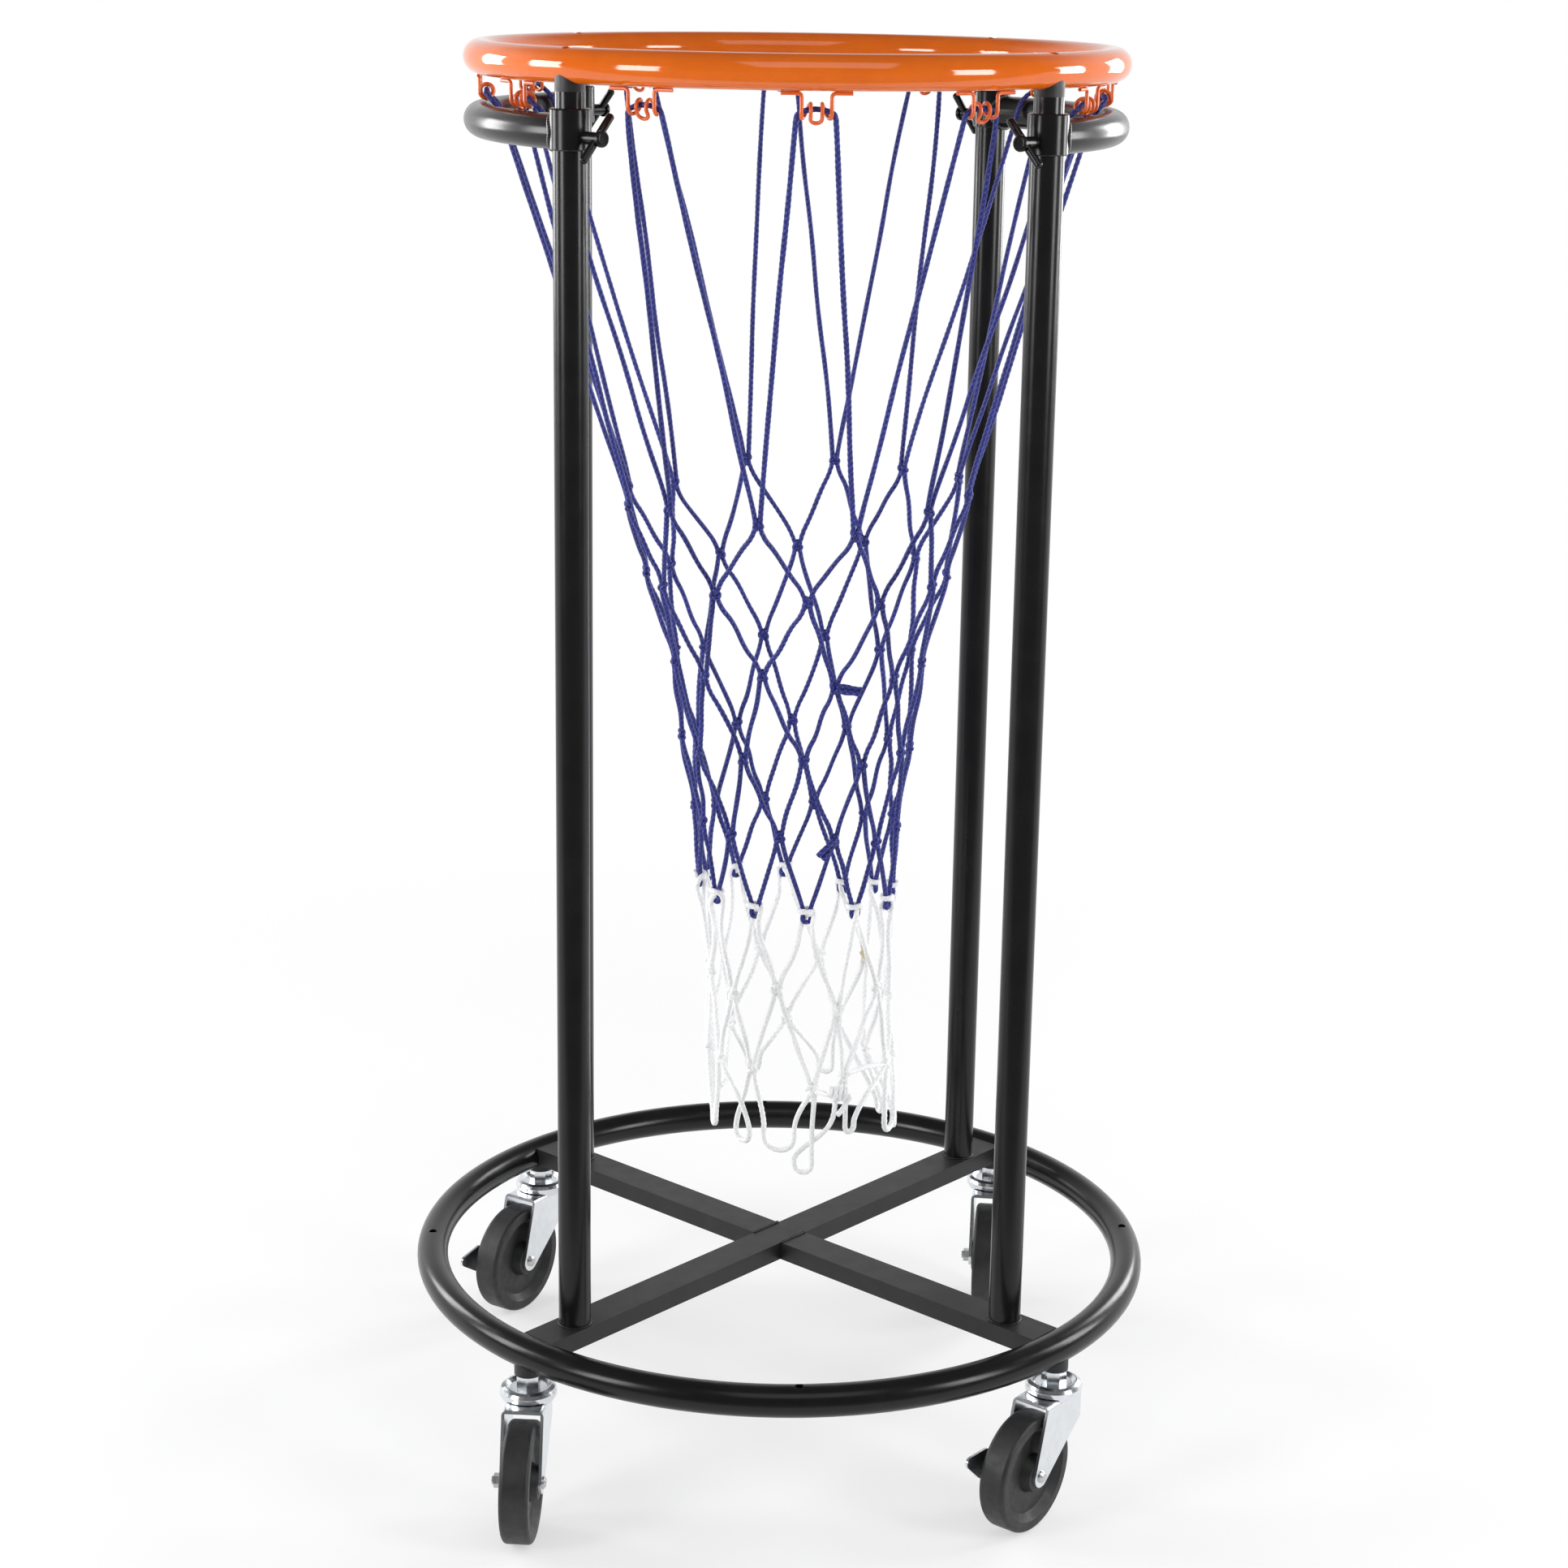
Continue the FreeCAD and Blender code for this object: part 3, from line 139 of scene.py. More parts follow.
def smooth_lines(routes):
    """The points along the smooth line of each route, read from its NURBS spline."""
    curve = bpy.data.curves.new("routes", "CURVE")
    curve.dimensions = "3D"
    curve.resolution_u = 8
    for route in routes:
        spline = curve.splines.new("NURBS")
        spline.points.add(len(route) - 1)
        for point, place in zip(spline.points, route):
            point.co = (place[0], place[1], place[2], 1)
        spline.order_u = 3
        spline.use_endpoint_u = True
    holder = bpy.data.objects.new("routes", curve)
    scene.collection.objects.link(holder)
    mesh = bpy.data.meshes.new_from_object(holder)
    places = np.array([v.co for v in mesh.vertices])
    joined = {tuple(sorted(e.vertices)) for e in mesh.edges}
    lines = []
    start = 0
    for index in range(len(places)):
        if (index, index + 1) not in joined:
            lines.append(places[start:index + 1])
            start = index + 1
    bpy.data.objects.remove(holder)
    bpy.data.curves.remove(curve)
    bpy.data.meshes.remove(mesh)
    if len(lines) != len(routes):
        raise RuntimeError("a route gave no line of its own")
    return lines


def even_steps(line, step):
    """The line again with its points a step apart, and the travel to each."""
    travel = np.concatenate([[0], np.cumsum(np.linalg.norm(np.diff(line, axis=0), axis=1))])
    count = max(3, int(round(travel[-1] / step)) + 1)
    places = np.linspace(0, travel[-1], count)
    return np.stack([np.interp(places, travel, line[:, axis]) for axis in range(3)], axis=1), places


def carried_sides(line, closed):
    """Two directions square to a line at each point, carried along it without twist."""
    if closed:
        ahead = np.roll(line, -1, axis=0) - np.roll(line, 1, axis=0)
    else:
        ahead = np.gradient(line, axis=0)
    ahead /= np.linalg.norm(ahead, axis=1)[:, None]
    first, _ = square_to(Vector(ahead[0]))
    sides = [np.array(first)]
    for direction in ahead[1:]:
        side = sides[-1] - direction * (sides[-1] @ direction)
        sides.append(side / np.linalg.norm(side))
    sides = np.array(sides)
    others = np.cross(ahead, sides)
    if closed:
        last = sides[-1] - ahead[0] * (sides[-1] @ ahead[0])
        twist = math.atan2(last @ others[0], last @ sides[0])
        turn = np.linspace(0, -twist, len(line))[:, None]
        sides, others = (
            np.cos(turn) * sides + np.sin(turn) * others,
            np.cos(turn) * others - np.sin(turn) * sides,
        )
    return sides, others


class Tubes:
    """Tubes along lines, gathered into one mesh. Each point keeps its height in the relief."""

    def __init__(self):
        self.places = []
        self.faces = []
        self.relief = []
        self.count = 0

    def add(self, line, radius, shape, sides=12, step=1.0, closed=False, flat=1.0):
        """shape gives, for travel and angle, the relief, from -1 to 1, and the share of radius."""
        line, travel = even_steps(line, step)
        if closed:
            line, travel = line[:-1], travel[:-1]
        across, over = carried_sides(line, closed)
        around = np.arange(sides) * 2 * math.pi / sides
        relief, swell = shape(travel[:, None], around[None, :])
        reach = radius * swell
        places = (
            line[:, None, :]
            + across[:, None, :] * (np.cos(around)[None, :] * reach)[:, :, None]
            + over[:, None, :] * (np.sin(around)[None, :] * reach * flat)[:, :, None]
        )
        rings = len(line)
        self.places.append(places.reshape(-1, 3))
        self.relief.append(np.broadcast_to(relief, reach.shape).reshape(-1))
        for ring in range(rings if closed else rings - 1):
            low = self.count + ring * sides
            high = self.count + (ring + 1) % rings * sides
            for corner in range(sides):
                after = (corner + 1) % sides
                self.faces.append((low + corner, low + after, high + after, high + corner))
        if not closed:
            last = self.count + (rings - 1) * sides
            self.faces.append(tuple(self.count + corner for corner in reversed(range(sides))))
            self.faces.append(tuple(last + corner for corner in range(sides)))
        self.count += rings * sides

    def build(self, name, material):
        mesh = bpy.data.meshes.new(name)
        places = np.concatenate(self.places) * MM
        mesh.from_pydata(places.tolist(), [], self.faces)
        mesh.validate()
        mesh.shade_smooth()
        height = mesh.attributes.new("relief", "FLOAT", "POINT")
        height.data.foreach_set("value", np.concatenate(self.relief).astype(np.float32))
        mesh.materials.append(material)
        piece = bpy.data.objects.new(name, mesh)
        scene.collection.objects.link(piece)
        return piece


BRAID_LENGTH = 4.6
BRAID_STRANDS = 3
BRAID_DEPTH = 0.08
GIRTH_DEPTH = 0.03
CORD_FLATNESS = 0.92


def braid(phase):
    """Staggered bumps round the cord, as a diamond braid shows, on a cord of uneven girth."""
    def shape(travel, angle):
        bumps = np.cos(BRAID_STRANDS * angle) * np.cos(travel * 2 * math.pi / BRAID_LENGTH)
        girth = (
            GIRTH_DEPTH * np.sin(travel / 5.3 + phase)
            + GIRTH_DEPTH * np.sin(travel / 12.7 + phase * 2.3)
        )
        return bumps, 1 + BRAID_DEPTH * bumps + girth
    return shape


def cord(tubes, line, closed=False, radius=CORD_R):
    shape = braid(draw.uniform(0, 2 * math.pi))
    tubes.add(line, radius, shape, closed=closed, flat=CORD_FLATNESS)


# Materials

class Finish:
    """A material with its nodes."""

    def __init__(self, name, colour, roughness, metallic=0.0, **uniform):
        self.material = bpy.data.materials.new(name)
        self.material.use_nodes = True
        self.tree = self.material.node_tree
        self.shader = self.tree.nodes["Principled BSDF"]
        self.shader.inputs["Base Color"].default_value = (*colour, 1)
        self.shader.inputs["Roughness"].default_value = roughness
        self.shader.inputs["Metallic"].default_value = metallic
        for socket, value in uniform.items():
            self.shader.inputs[socket.replace("_", " ")].default_value = value
        self.place = self.node("ShaderNodeTexCoord").outputs["Object"]

    def node(self, kind, **inputs):
        made = self.tree.nodes.new(kind)
        for name, value in inputs.items():
            socket = made.inputs[name.replace("_", " ")]
            if isinstance(value, bpy.types.NodeSocket):
                self.tree.links.new(value, socket)
            else:
                socket.default_value = value
        return made

    def noise(self, scale, detail=3.0, rough=0.5, stretch=None):
        place = self.place
        if stretch:
            place = self.node("ShaderNodeMapping", Vector=place, Scale=stretch).outputs["Vector"]
        made = self.node(
            "ShaderNodeTexNoise", Vector=place, Scale=scale, Detail=detail, Roughness=rough,
        )
        return made.outputs["Fac"]

    def ramp(self, factor, *stops):
        """Colours or greys at positions along the factor."""
        made = self.node("ShaderNodeValToRGB", Fac=factor)
        elements = made.color_ramp.elements
        while len(elements) < len(stops):
            elements.new(0.5)
        for element, (position, colour) in zip(elements, stops):
            element.position = position
            if not isinstance(colour, tuple):
                colour = (colour, colour, colour)
            element.color = (*colour, 1)
        return made.outputs["Color"]

    def mix(self, factor, one, two, blend="MIX"):
        made = self.tree.nodes.new("ShaderNodeMix")
        made.data_type = "RGBA"
        made.blend_type = blend
        for index, value in ((0, factor), (6, one), (7, two)):
            socket = made.inputs[index]
            if isinstance(value, bpy.types.NodeSocket):
                self.tree.links.new(value, socket)
            elif isinstance(value, tuple):
                socket.default_value = (*value, 1)
            else:
                socket.default_value = value
        return made.outputs[2]

    def maths(self, operation, one, two):
        made = self.tree.nodes.new("ShaderNodeMath")
        made.operation = operation
        self.tree.links.new(one, made.inputs[0])
        self.tree.links.new(two, made.inputs[1])
        return made.outputs[0]

    def fade(self, value, low, high, least=0.0):
        """From least at low to 1 at high, without a kink at either."""
        made = self.node(
            "ShaderNodeMapRange", Value=value, From_Min=low, From_Max=high, To_Min=least,
        )
        made.interpolation_type = "SMOOTHSTEP"
        return made.outputs["Result"]

    def blend(self, factor, one, two):
        made = self.node("ShaderNodeMixShader", Fac=factor)
        self.tree.links.new(one, made.inputs[1])
        self.tree.links.new(two, made.inputs[2])
        return made.outputs[0]

    def colour(self, output):
        self.tree.links.new(output, self.shader.inputs["Base Color"])

    def rough(self, output):
        self.tree.links.new(output, self.shader.inputs["Roughness"])

    def bump(self, height, strength, distance):
        made = self.node("ShaderNodeBump", Height=height, Strength=strength, Distance=distance)
        self.tree.links.new(made.outputs["Normal"], self.shader.inputs["Normal"])


def paint(name, dark, light, rough_low, rough_high, peel, **uniform):
    """Stoved paint: slow changes of shade, orange peel, and patches of duller and glossier skin."""
    finish = Finish(name, light, rough_low, **uniform)
    finish.colour(finish.ramp(finish.noise(38, 4), (0.3, dark), (0.7, light)))
    finish.rough(finish.ramp(finish.noise(60, 3, 0.5), (0.25, rough_low), (0.75, rough_high)))
    finish.bump(finish.noise(800, 2, 0.4), peel, 0.0002)
    return finish.material


def plated(name, colour, rough_low, rough_high, cloud=0.82):
    """Bright plating: cloudy colour, fine rolling lines, and grease in its roughness."""
    finish = Finish(name, colour, rough_low, 1.0)
    dull = tuple(channel * cloud for channel in colour)
    finish.colour(finish.ramp(finish.noise(120, 5, 0.6), (0.35, dull), (0.7, colour)))
    finish.rough(finish.ramp(finish.noise(340, 4, 0.6), (0.3, rough_low), (0.8, rough_high)))
    finish.bump(finish.noise(900, 3, 0.6, stretch=(1, 1, 0.12)), 0.05, 0.0002)
    return finish.material


STAIN = (0.62, 0.52, 0.36)
STAIN_PLACE = (0.066, 0.047, 0.380)
STAIN_REACH = 0.011
STAIN_CORE = STAIN_REACH * 0.4


def cord_finish(name, groove_shade, body, crown_highlight, sheen, rough, fleck_dark, stain=None):
    """Braided cord: painted shade between the braid's strands, painted highlight on their crowns.
    """
    finish = Finish(name, body, rough, Sheen_Weight=sheen, Sheen_Roughness=0.5)
    height = finish.node("ShaderNodeAttribute")
    height.attribute_name = "relief"
    level = finish.node(
        "ShaderNodeMapRange", Value=height.outputs["Fac"], From_Min=-1.0, From_Max=1.0,
    )
    # Painted shade in the braid's grooves and painted highlight on its crowns, read from the
    # relief.
    depth = finish.ramp(level.outputs["Result"], (0.1, groove_shade), (0.5, body), (0.95, crown_highlight))
    fleck = finish.ramp(finish.noise(520, 3, 0.7), (0.45, fleck_dark), (0.62, 1.1))
    cast = finish.ramp(finish.noise(22, 2), (0.3, 0.9), (0.7, 1.05))
    yarn = finish.mix(1.0, finish.mix(1.0, depth, fleck, "MULTIPLY"), cast, "MULTIPLY")
    if stain:
        away = finish.node("ShaderNodeVectorMath", Vector=finish.place)
        away.operation = "DISTANCE"
        away.inputs[1].default_value = stain
        near = finish.node(
            "ShaderNodeMapRange",
            Value=away.outputs["Value"], From_Min=STAIN_REACH, From_Max=STAIN_CORE,
        )
        yarn = finish.mix(near.outputs["Result"], yarn, STAIN)
    finish.colour(yarn)
    finish.bump(finish.noise(2600, 2, 0.6), 0.35, 0.0003)
    return finish.material


black_coat = paint(
    "black_coat", (0.006, 0.006, 0.0063), (0.009, 0.009, 0.0093), 0.2, 0.26, 0.03,
    Specular_IOR_Level=0.3,
)
# The flat bars mirror the lamps at a low angle, so their skin is duller than that of the tubes.
# Their colour, paler than the black coat's, is painted sheen for the lamps they mirror.
bar_coat = paint(
    "bar_coat", (0.013, 0.013, 0.0133), (0.019, 0.019, 0.0193), 0.38, 0.46, 0.03,
    Specular_IOR_Level=0.35,
)
black_gloss = paint(
    "black_gloss", (0.005, 0.005, 0.005), (0.008, 0.008, 0.0083), 0.15, 0.22, 0.03,
    Specular_IOR_Level=0.35,
)
orange_coat = paint(
    "orange_coat", (0.72, 0.130, 0.006), (0.78, 0.150, 0.007), 0.06, 0.09, 0.02,
    Specular_IOR_Level=0.75,
)
orange_wire = paint(
    "orange_wire", (0.70, 0.110, 0.016), (0.80, 0.150, 0.024), 0.12, 0.2, 0.05,
    Specular_IOR_Level=0.6,
)
zinc = plated("zinc", (0.80, 0.83, 0.86), 0.2, 0.3, 0.93)
steel = plated("steel", (0.62, 0.62, 0.62), 0.25, 0.42)
ball_steel = plated("ball_steel", (0.5, 0.49, 0.47), 0.12, 0.3)


def moulded(name, dark, light, rough_low, rough_high, grain, scale):
    """Moulded plastic or rubber: mottled, with a fine grain and paler scuffs."""
    finish = Finish(name, light, rough_low)
    mottle = finish.ramp(finish.noise(70, 6, 0.65), (0.35, dark), (0.7, light))
    scuff = finish.ramp(finish.noise(420, 6, 0.75), (0.62, 0.0), (0.74, 1.0))
    pale = tuple(min(1.0, channel * 2.2) for channel in light)
    finish.colour(finish.mix(scuff, mottle, pale))
    finish.rough(finish.ramp(finish.noise(160, 4), (0.3, rough_low), (0.75, rough_high)))
    finish.bump(finish.noise(scale, 4, 0.6), grain, 0.0004)
    return finish.material


rubber = moulded("rubber", (0.012, 0.012, 0.013), (0.022, 0.022, 0.022), 0.42, 0.62, 0.12, 900)
saddle_plastic = moulded(
    "saddle_plastic", (0.016, 0.016, 0.017), (0.026, 0.026, 0.027), 0.45, 0.6, 0.2, 1500,
)
socket_paint = moulded(
    "socket_paint", (0.008, 0.008, 0.009), (0.015, 0.015, 0.016), 0.35, 0.5, 0.12, 1200,
)
tube_paint = paint(
    "tube_paint", (0.005, 0.005, 0.006), (0.009, 0.009, 0.010), 0.18, 0.25, 0.04,
    Specular_IOR_Level=0.4,
)

# The first and third colours of each cord are its painted groove shade and painted crown highlight.
blue_cord = cord_finish(
    "blue_cord", (0.006, 0.008, 0.075), (0.022, 0.030, 0.260), (0.075, 0.095, 0.560),
    0.05, 0.6, 0.62,
)
white_cord = cord_finish(
    "white_cord", (0.84, 0.85, 0.86), (0.95, 0.955, 0.96), (0.98, 0.98, 0.98),
    0.1, 0.6, 0.97, stain=STAIN_PLACE,
)

# The finish of each solid, by the start of its name.
FINISHES = {
    "base_ring": black_coat, "crossbar": bar_coat, "post": black_coat, "collar": black_coat,
    "handle": black_coat, "caster_sockets": socket_paint, "hoop_ring": orange_coat,
    "net_hooks": orange_wire, "inner_tube": tube_paint, "saddle_caps": saddle_plastic,
    "hoop_bolts": steel, "tube_plugs": steel, "clamp_screw": black_gloss, "tommy_bar": black_gloss,
    "caster_stems": zinc, "caster_caps": zinc, "swivel_balls": ball_steel, "fork": zinc,
    "axle": steel, "hub_sleeve": steel, "wheel": rubber, "brake": zinc,
    "net_blue": blue_cord, "net_white": white_cord,
}
SHARP_ANGLE = math.radians(32)
for name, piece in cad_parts.items():
    finish = next(value for key, value in FINISHES.items() if name.startswith(key))
    piece.data.materials.clear()
    piece.data.materials.append(finish)
    piece.data.shade_smooth()
    piece.data.set_sharp_from_angle(angle=SHARP_ANGLE)


# The knotted net

# Cords meet a knot this far to its left and right, and this far over and under its middle.
PORT_ASIDE = 1.9
PORT_HEIGHT = 2.0

# A knot's lobes: points along them, their reach aside, up and outward, and their cord's radius.
LUMP_STEPS = 48
LUMP_ASIDE = 1.14
LUMP_HEIGHT = 1.36
LUMP_DEPTH = 1.55
LUMP_CORD_R = 1.85


class Knot:
    """A tight knot. Its cords come and go through the places on its left and right."""

    def __init__(self, row, index):
        radius, shift, places = row
        angle, drop = places[index % HOOK_COUNT]
        turn = math.radians(angle)
        self.outward = Vector((math.cos(turn), math.sin(turn), 0))
        self.aside = Vector((-math.sin(turn), math.cos(turn), 0))
        self.centre = self.outward * radius + Vector((shift, 0, HOOP_Z - drop))

    def port(self, side, height):
        """Where a cord enters, left or right of the middle."""
        return self.centre + self.aside * side * PORT_ASIDE + UP * height

    def at(self, aside, outward, up):
        return self.centre + self.aside * aside + self.outward * outward + UP * up


def knots_of(row):
    return [Knot(row, index) for index in range(HOOK_COUNT)]


def lump(tubes, knot, size=1.0):
    """The knot itself: a cord that winds over and under itself in three lobes, pulled tight."""
    flip = draw.choice((-1, 1))
    turned = draw.uniform(0, 2 * math.pi)
    lean = draw.uniform(-0.3, 0.3)
    points = []
    for step in range(LUMP_STEPS + 1):
        t = 2 * math.pi * step / LUMP_STEPS
        x = (math.sin(t) + 2 * math.sin(2 * t)) * flip
        y = math.cos(t) - 2 * math.cos(2 * t)
        depth = -math.sin(3 * t)
        along = (x * math.cos(turned) - y * math.sin(turned)) * LUMP_ASIDE * size
        high = (x * math.sin(turned) + y * math.cos(turned)) * LUMP_HEIGHT * size
        out = (depth * LUMP_DEPTH + high * lean * 0.4) * size
        points.append(knot.at(along, out, high))
    cord(tubes, np.array(points), closed=True, radius=LUMP_CORD_R * size)


def strand(upper, lower, side, slack=1.5):
    """Control points of a cord from one side of an upper knot to the facing side of a lower one."""
    start = upper.port(side, -PORT_HEIGHT)
    end = lower.port(-side, PORT_HEIGHT)
    run = end - start
    drop = UP * -min(7.0, run.length * 0.16)
    points = [start, start + run * 0.07 + drop * 0.55]
    for share in (0.34, 0.67):
        points.append(start.lerp(end, share) + wobble(slack))
    points += [end - run * 0.07 - drop * 0.55, end]
    return points


def rows_of_strands(upper, lower, first_side):
    """The cords between two rows.

    first_side is 1 where a knot's own index below is the one on its left, and -1 where it is the
    one on its right.
    """
    routes = []
    for index, knot in enumerate(upper):
        for side in (-1, 1):
            place = index + (side + first_side) // 2
            routes.append(strand(knot, lower[place % HOOK_COUNT], side))
    return routes


def near_hoop(angle, sideways, inward, drop):
    """A place at a hook's angle, given from the centre line of the hoop's tube."""
    turn = math.radians(angle)
    outward = Vector((math.cos(turn), math.sin(turn), 0))
    aside = Vector((-math.sin(turn), math.cos(turn), 0))
    return outward * (HOOP_R - inward) + aside * sideways + UP * (HOOP_Z - drop)


# A cord lies level on its hook out to LEVEL_TO, turns down at STRAND_LEAVE and is clear of the
# hook at STRAND_DROP. Where a handle is below, it goes round that at HANDLE_CLEAR from its axis.
LEVEL_FROM = 3.4
LEVEL_TO = 8.2
STRAND_LEAVE = 13.8
STRAND_DROP = 28.8
HANDLE_CLEAR = TUBE_R + CORD_R + 2.1
WIRE_GAP = 0.3


def hook_route(index, left, right):
    """From a knot up to a hook, over between its coils, and down to the next knot."""
    angle = index * 360 / HOOK_COUNT
    top_drop = HOOK_COIL_DROP - HOOK_COIL + HOOK_WIRE_R + CORD_R + WIRE_GAP
    over_handle = abs(math.cos(math.radians(angle))) > math.sqrt(0.5)
    halves = []
    for side, knot in ((-1, left), (1, right)):
        half = [
            near_hoop(angle, side * LEVEL_FROM, HOOK_COIL, top_drop),
            near_hoop(angle, side * LEVEL_TO, HOOK_COIL, top_drop + 1.2),
            near_hoop(angle, side * (STRAND_LEAVE - 0.9), HOOK_COIL, STRAND_DROP - 0.5),
        ]
        if over_handle:
            for rise in (52, 30, 8):
                inward = HANDLE_CLEAR * math.cos(math.radians(rise))
                drop = HANDLE_DROP - HANDLE_CLEAR * math.sin(math.radians(rise))
                half.append(near_hoop(angle, side * (STRAND_LEAVE + CORD_R), inward, drop))
        else:
            sideways = side * (STRAND_LEAVE + 0.4)
            half.append(near_hoop(angle, sideways, HOOK_COIL + 0.4, STRAND_DROP + 4))
        top = half[-1]
        end = knot.port(-side, PORT_HEIGHT)
        for share in (0.2, 0.4, 0.6, 0.8):
            half.append(top.lerp(end, share) + wobble(1.6))
        half.append(end + UP * 4 + (top - end) * 0.015)
        half.append(end)
        halves.append(half)
    return halves[0][::-1] + halves[1]


def bight_route(left, right, bottom):
    """Down from one knot, round the bottom of a bight, and up to the next knot."""
    start = left.port(1, -PORT_HEIGHT)
    end = right.port(-1, -PORT_HEIGHT)
    low_left = bottom.at(-2.1, 0, 8)
    low_right = bottom.at(2.1, 0, 8)
    return [
        start, start.lerp(low_left, 0.1) - UP * 3, start.lerp(low_left, 0.36) + wobble(1.4),
        start.lerp(low_left, 0.7) + wobble(1.2), low_left,
        bottom.at(-3.6, 0, 2.4), bottom.at(-2.4, 0, -0.9),
        bottom.at(2.4, 0, -0.9), bottom.at(3.6, 0, 2.4),
        low_right, end.lerp(low_right, 0.7) + wobble(1.2),
        end.lerp(low_right, 0.36) + wobble(1.4), end.lerp(low_right, 0.1) - UP * 3, end,
    ]


def tie_routes(bottom, left, right):
    """White cord bent round a blue bight: up through it, round both its legs, and down again."""
    face = draw.choice((-1, 1))

    def down_from(start):
        middle = bottom.centre
        return [
            start, start.lerp(middle, 0.1) + UP * 4, start.lerp(middle, 0.4) + wobble(1.4),
            start.lerp(middle, 0.72) + wobble(1.2),
        ]

    from_left = down_from(left.port(1, PORT_HEIGHT)) + [
        bottom.at(-3.6, 3.6 * face, -4.0), bottom.at(-1.6, 4.4 * face, 1.5),
        bottom.at(0.4, 2.2 * face, 5.0), bottom.at(3.2, -3.4 * face, 7.0),
    ]
    from_right = down_from(right.port(-1, PORT_HEIGHT)) + [
        bottom.at(4.2, -3.0 * face, -3.0), bottom.at(5.4, -2.6 * face, 2.5),
        bottom.at(5.6, 0, 7.5), bottom.at(3.2, 3.9 * face, 9.2),
        bottom.at(-2.6, 4.0 * face, 8.6), bottom.at(-6.0, 0.6 * face, 8.4),
        bottom.at(-4.4, -3.8 * face, 8.8), bottom.at(1.2, -4.2 * face, 8.6),
        bottom.at(4.0, -2.6 * face, 8.2),
    ]
    return [from_left, from_right]


CROSSING_GAP = 2.6


def loop_route(left, right, bottom, width, crossed, by_way_of):
    """A free loop that hangs from one knot to the next. A crossed one passes over itself."""
    half = width / 2
    over = 0
    if crossed:
        half = -half
        over = CROSSING_GAP
    start = left.port(1, -PORT_HEIGHT)
    end = right.port(-1, -PORT_HEIGHT)
    high_left = bottom.at(-half, over, width * 0.75 + 4)
    high_right = bottom.at(half, -over, width * 0.75 + 4)
    last = [bottom.at(*place) for place in by_way_of] or [end.lerp(high_right, 0.55) + wobble(1.5)]
    return [
        start, start.lerp(high_left, 0.12) - UP * 3,
        start.lerp(high_left, 0.55) + wobble(1.5), high_left,
        bottom.at(-half * 1.05, over * 0.5, abs(half) * 0.55),
        bottom.at(-half * 0.5, over * 0.2, -1.0), bottom.at(half * 0.5, -over * 0.2, -1.0),
        bottom.at(half * 1.05, -over * 0.5, abs(half) * 0.55),
        high_right, *last, end.lerp(high_right, 0.12) - UP * 3, end,
    ]


blue_rows = [knots_of(row) for row in (KNOTS_A, KNOTS_B, KNOTS_C, KNOTS_D, KNOTS_E)]
bights = knots_of(BLUE_BIGHTS)
top_row, bottom_row = blue_rows[0], blue_rows[-1]
routes = [hook_route(index, top_row[index - 1], top_row[index]) for index in range(HOOK_COUNT)]
first_side = 1
for upper, lower in zip(blue_rows, blue_rows[1:]):
    routes += rows_of_strands(upper, lower, first_side)
    first_side = -first_side
for index, bight in enumerate(bights):
    routes.append(bight_route(bottom_row[index - 1], bottom_row[index], bight))

blue = Tubes()
for line in smooth_lines(routes):
    cord(blue, line)
for row in blue_rows:
    for knot in row:
        lump(blue, knot)

# Cut ends of the blue cord stick out of two of its knots.
TAILS = (
    (blue_rows[2][9], [(1, 3, 1), (6, 6, 2), (12, 8, 0), (19, 8, -1)]),
    (blue_rows[2][9], [(0, 4, -1), (6, 8, -3), (12, 11, -2), (17, 12, -4)]),
    (blue_rows[4][9], [(0, 3, -1), (-5, 6, -5), (-9, 8, -9), (-13, 9, -12)]),
    (blue_rows[4][9], [(0, 3, 1), (-7, 7, -2), (-12, 8, -5), (-17, 9, -9)]),
)
for line in smooth_lines([[knot.at(*place) for place in places] for knot, places in TAILS]):
    cord(blue, line, radius=TAIL_R)
blue_net = blue.build("blue_net", blue_cord)
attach(blue_net, "hoop")
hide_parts("net_blue")

white_first = knots_of(KNOTS_F)
white_second = knots_of(KNOTS_G)
routes = []
for index, bight in enumerate(bights):
    routes += tie_routes(bight, white_first[index - 1], white_first[index])
routes += rows_of_strands(white_first, white_second, 1)
for index, bottom in enumerate(knots_of(WHITE_LOOPS)):
    routes.append(loop_route(
        white_second[index], white_second[(index + 1) % HOOK_COUNT], bottom, LOOP_WIDTHS[index],
        index in CROSSED_LOOPS, BY_WAY_OF.get(index, []),
    ))

# Where the net was mended, a cord is wound round the others, and one runs level to the next knot.
WOUND_TURNS = 4
WOUND_CORNERS = 8
WOUND_R = 3.4
WOUND_TALLNESS = 1.5
before, mended, after = white_second[9:12]
wound_from = before.at(13, 7, -2)
wound_to = mended.at(2, 7, -14)
wound = [before.at(3, 3, -1), before.at(9, 8, -1)]
for step in range(WOUND_TURNS * WOUND_CORNERS + 1):
    turn = step * 2 * math.pi / WOUND_CORNERS
    outward = before.outward * math.cos(turn) * WOUND_R
    upward = UP * math.sin(turn) * WOUND_R * WOUND_TALLNESS
    share = step / (WOUND_TURNS * WOUND_CORNERS)
    wound.append(wound_from.lerp(wound_to, share) + (outward + upward))
wound += [mended.at(1, 5, -22), mended.at(-5, 6, -29), mended.at(-9, 7, -31)]
routes.append(wound)
level_from, level_to = mended.port(1, 1.0), after.port(-1, -1.0)
routes.append([
    level_from, level_from.lerp(level_to, 0.1) - UP, level_from.lerp(level_to, 0.5) + UP * 1.5,
    level_from.lerp(level_to, 0.9) - UP, level_to,
])

WHITE_KNOT_SIZE = 1.15
white = Tubes()
for line in smooth_lines(routes):
    cord(white, line, radius=WHITE_CORD_R)
for knot in white_first + white_second:
    lump(white, knot, WHITE_KNOT_SIZE)
white_net = white.build("white_net", white_cord)
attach(white_net, "hoop")
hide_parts("net_white")


# Weld beads

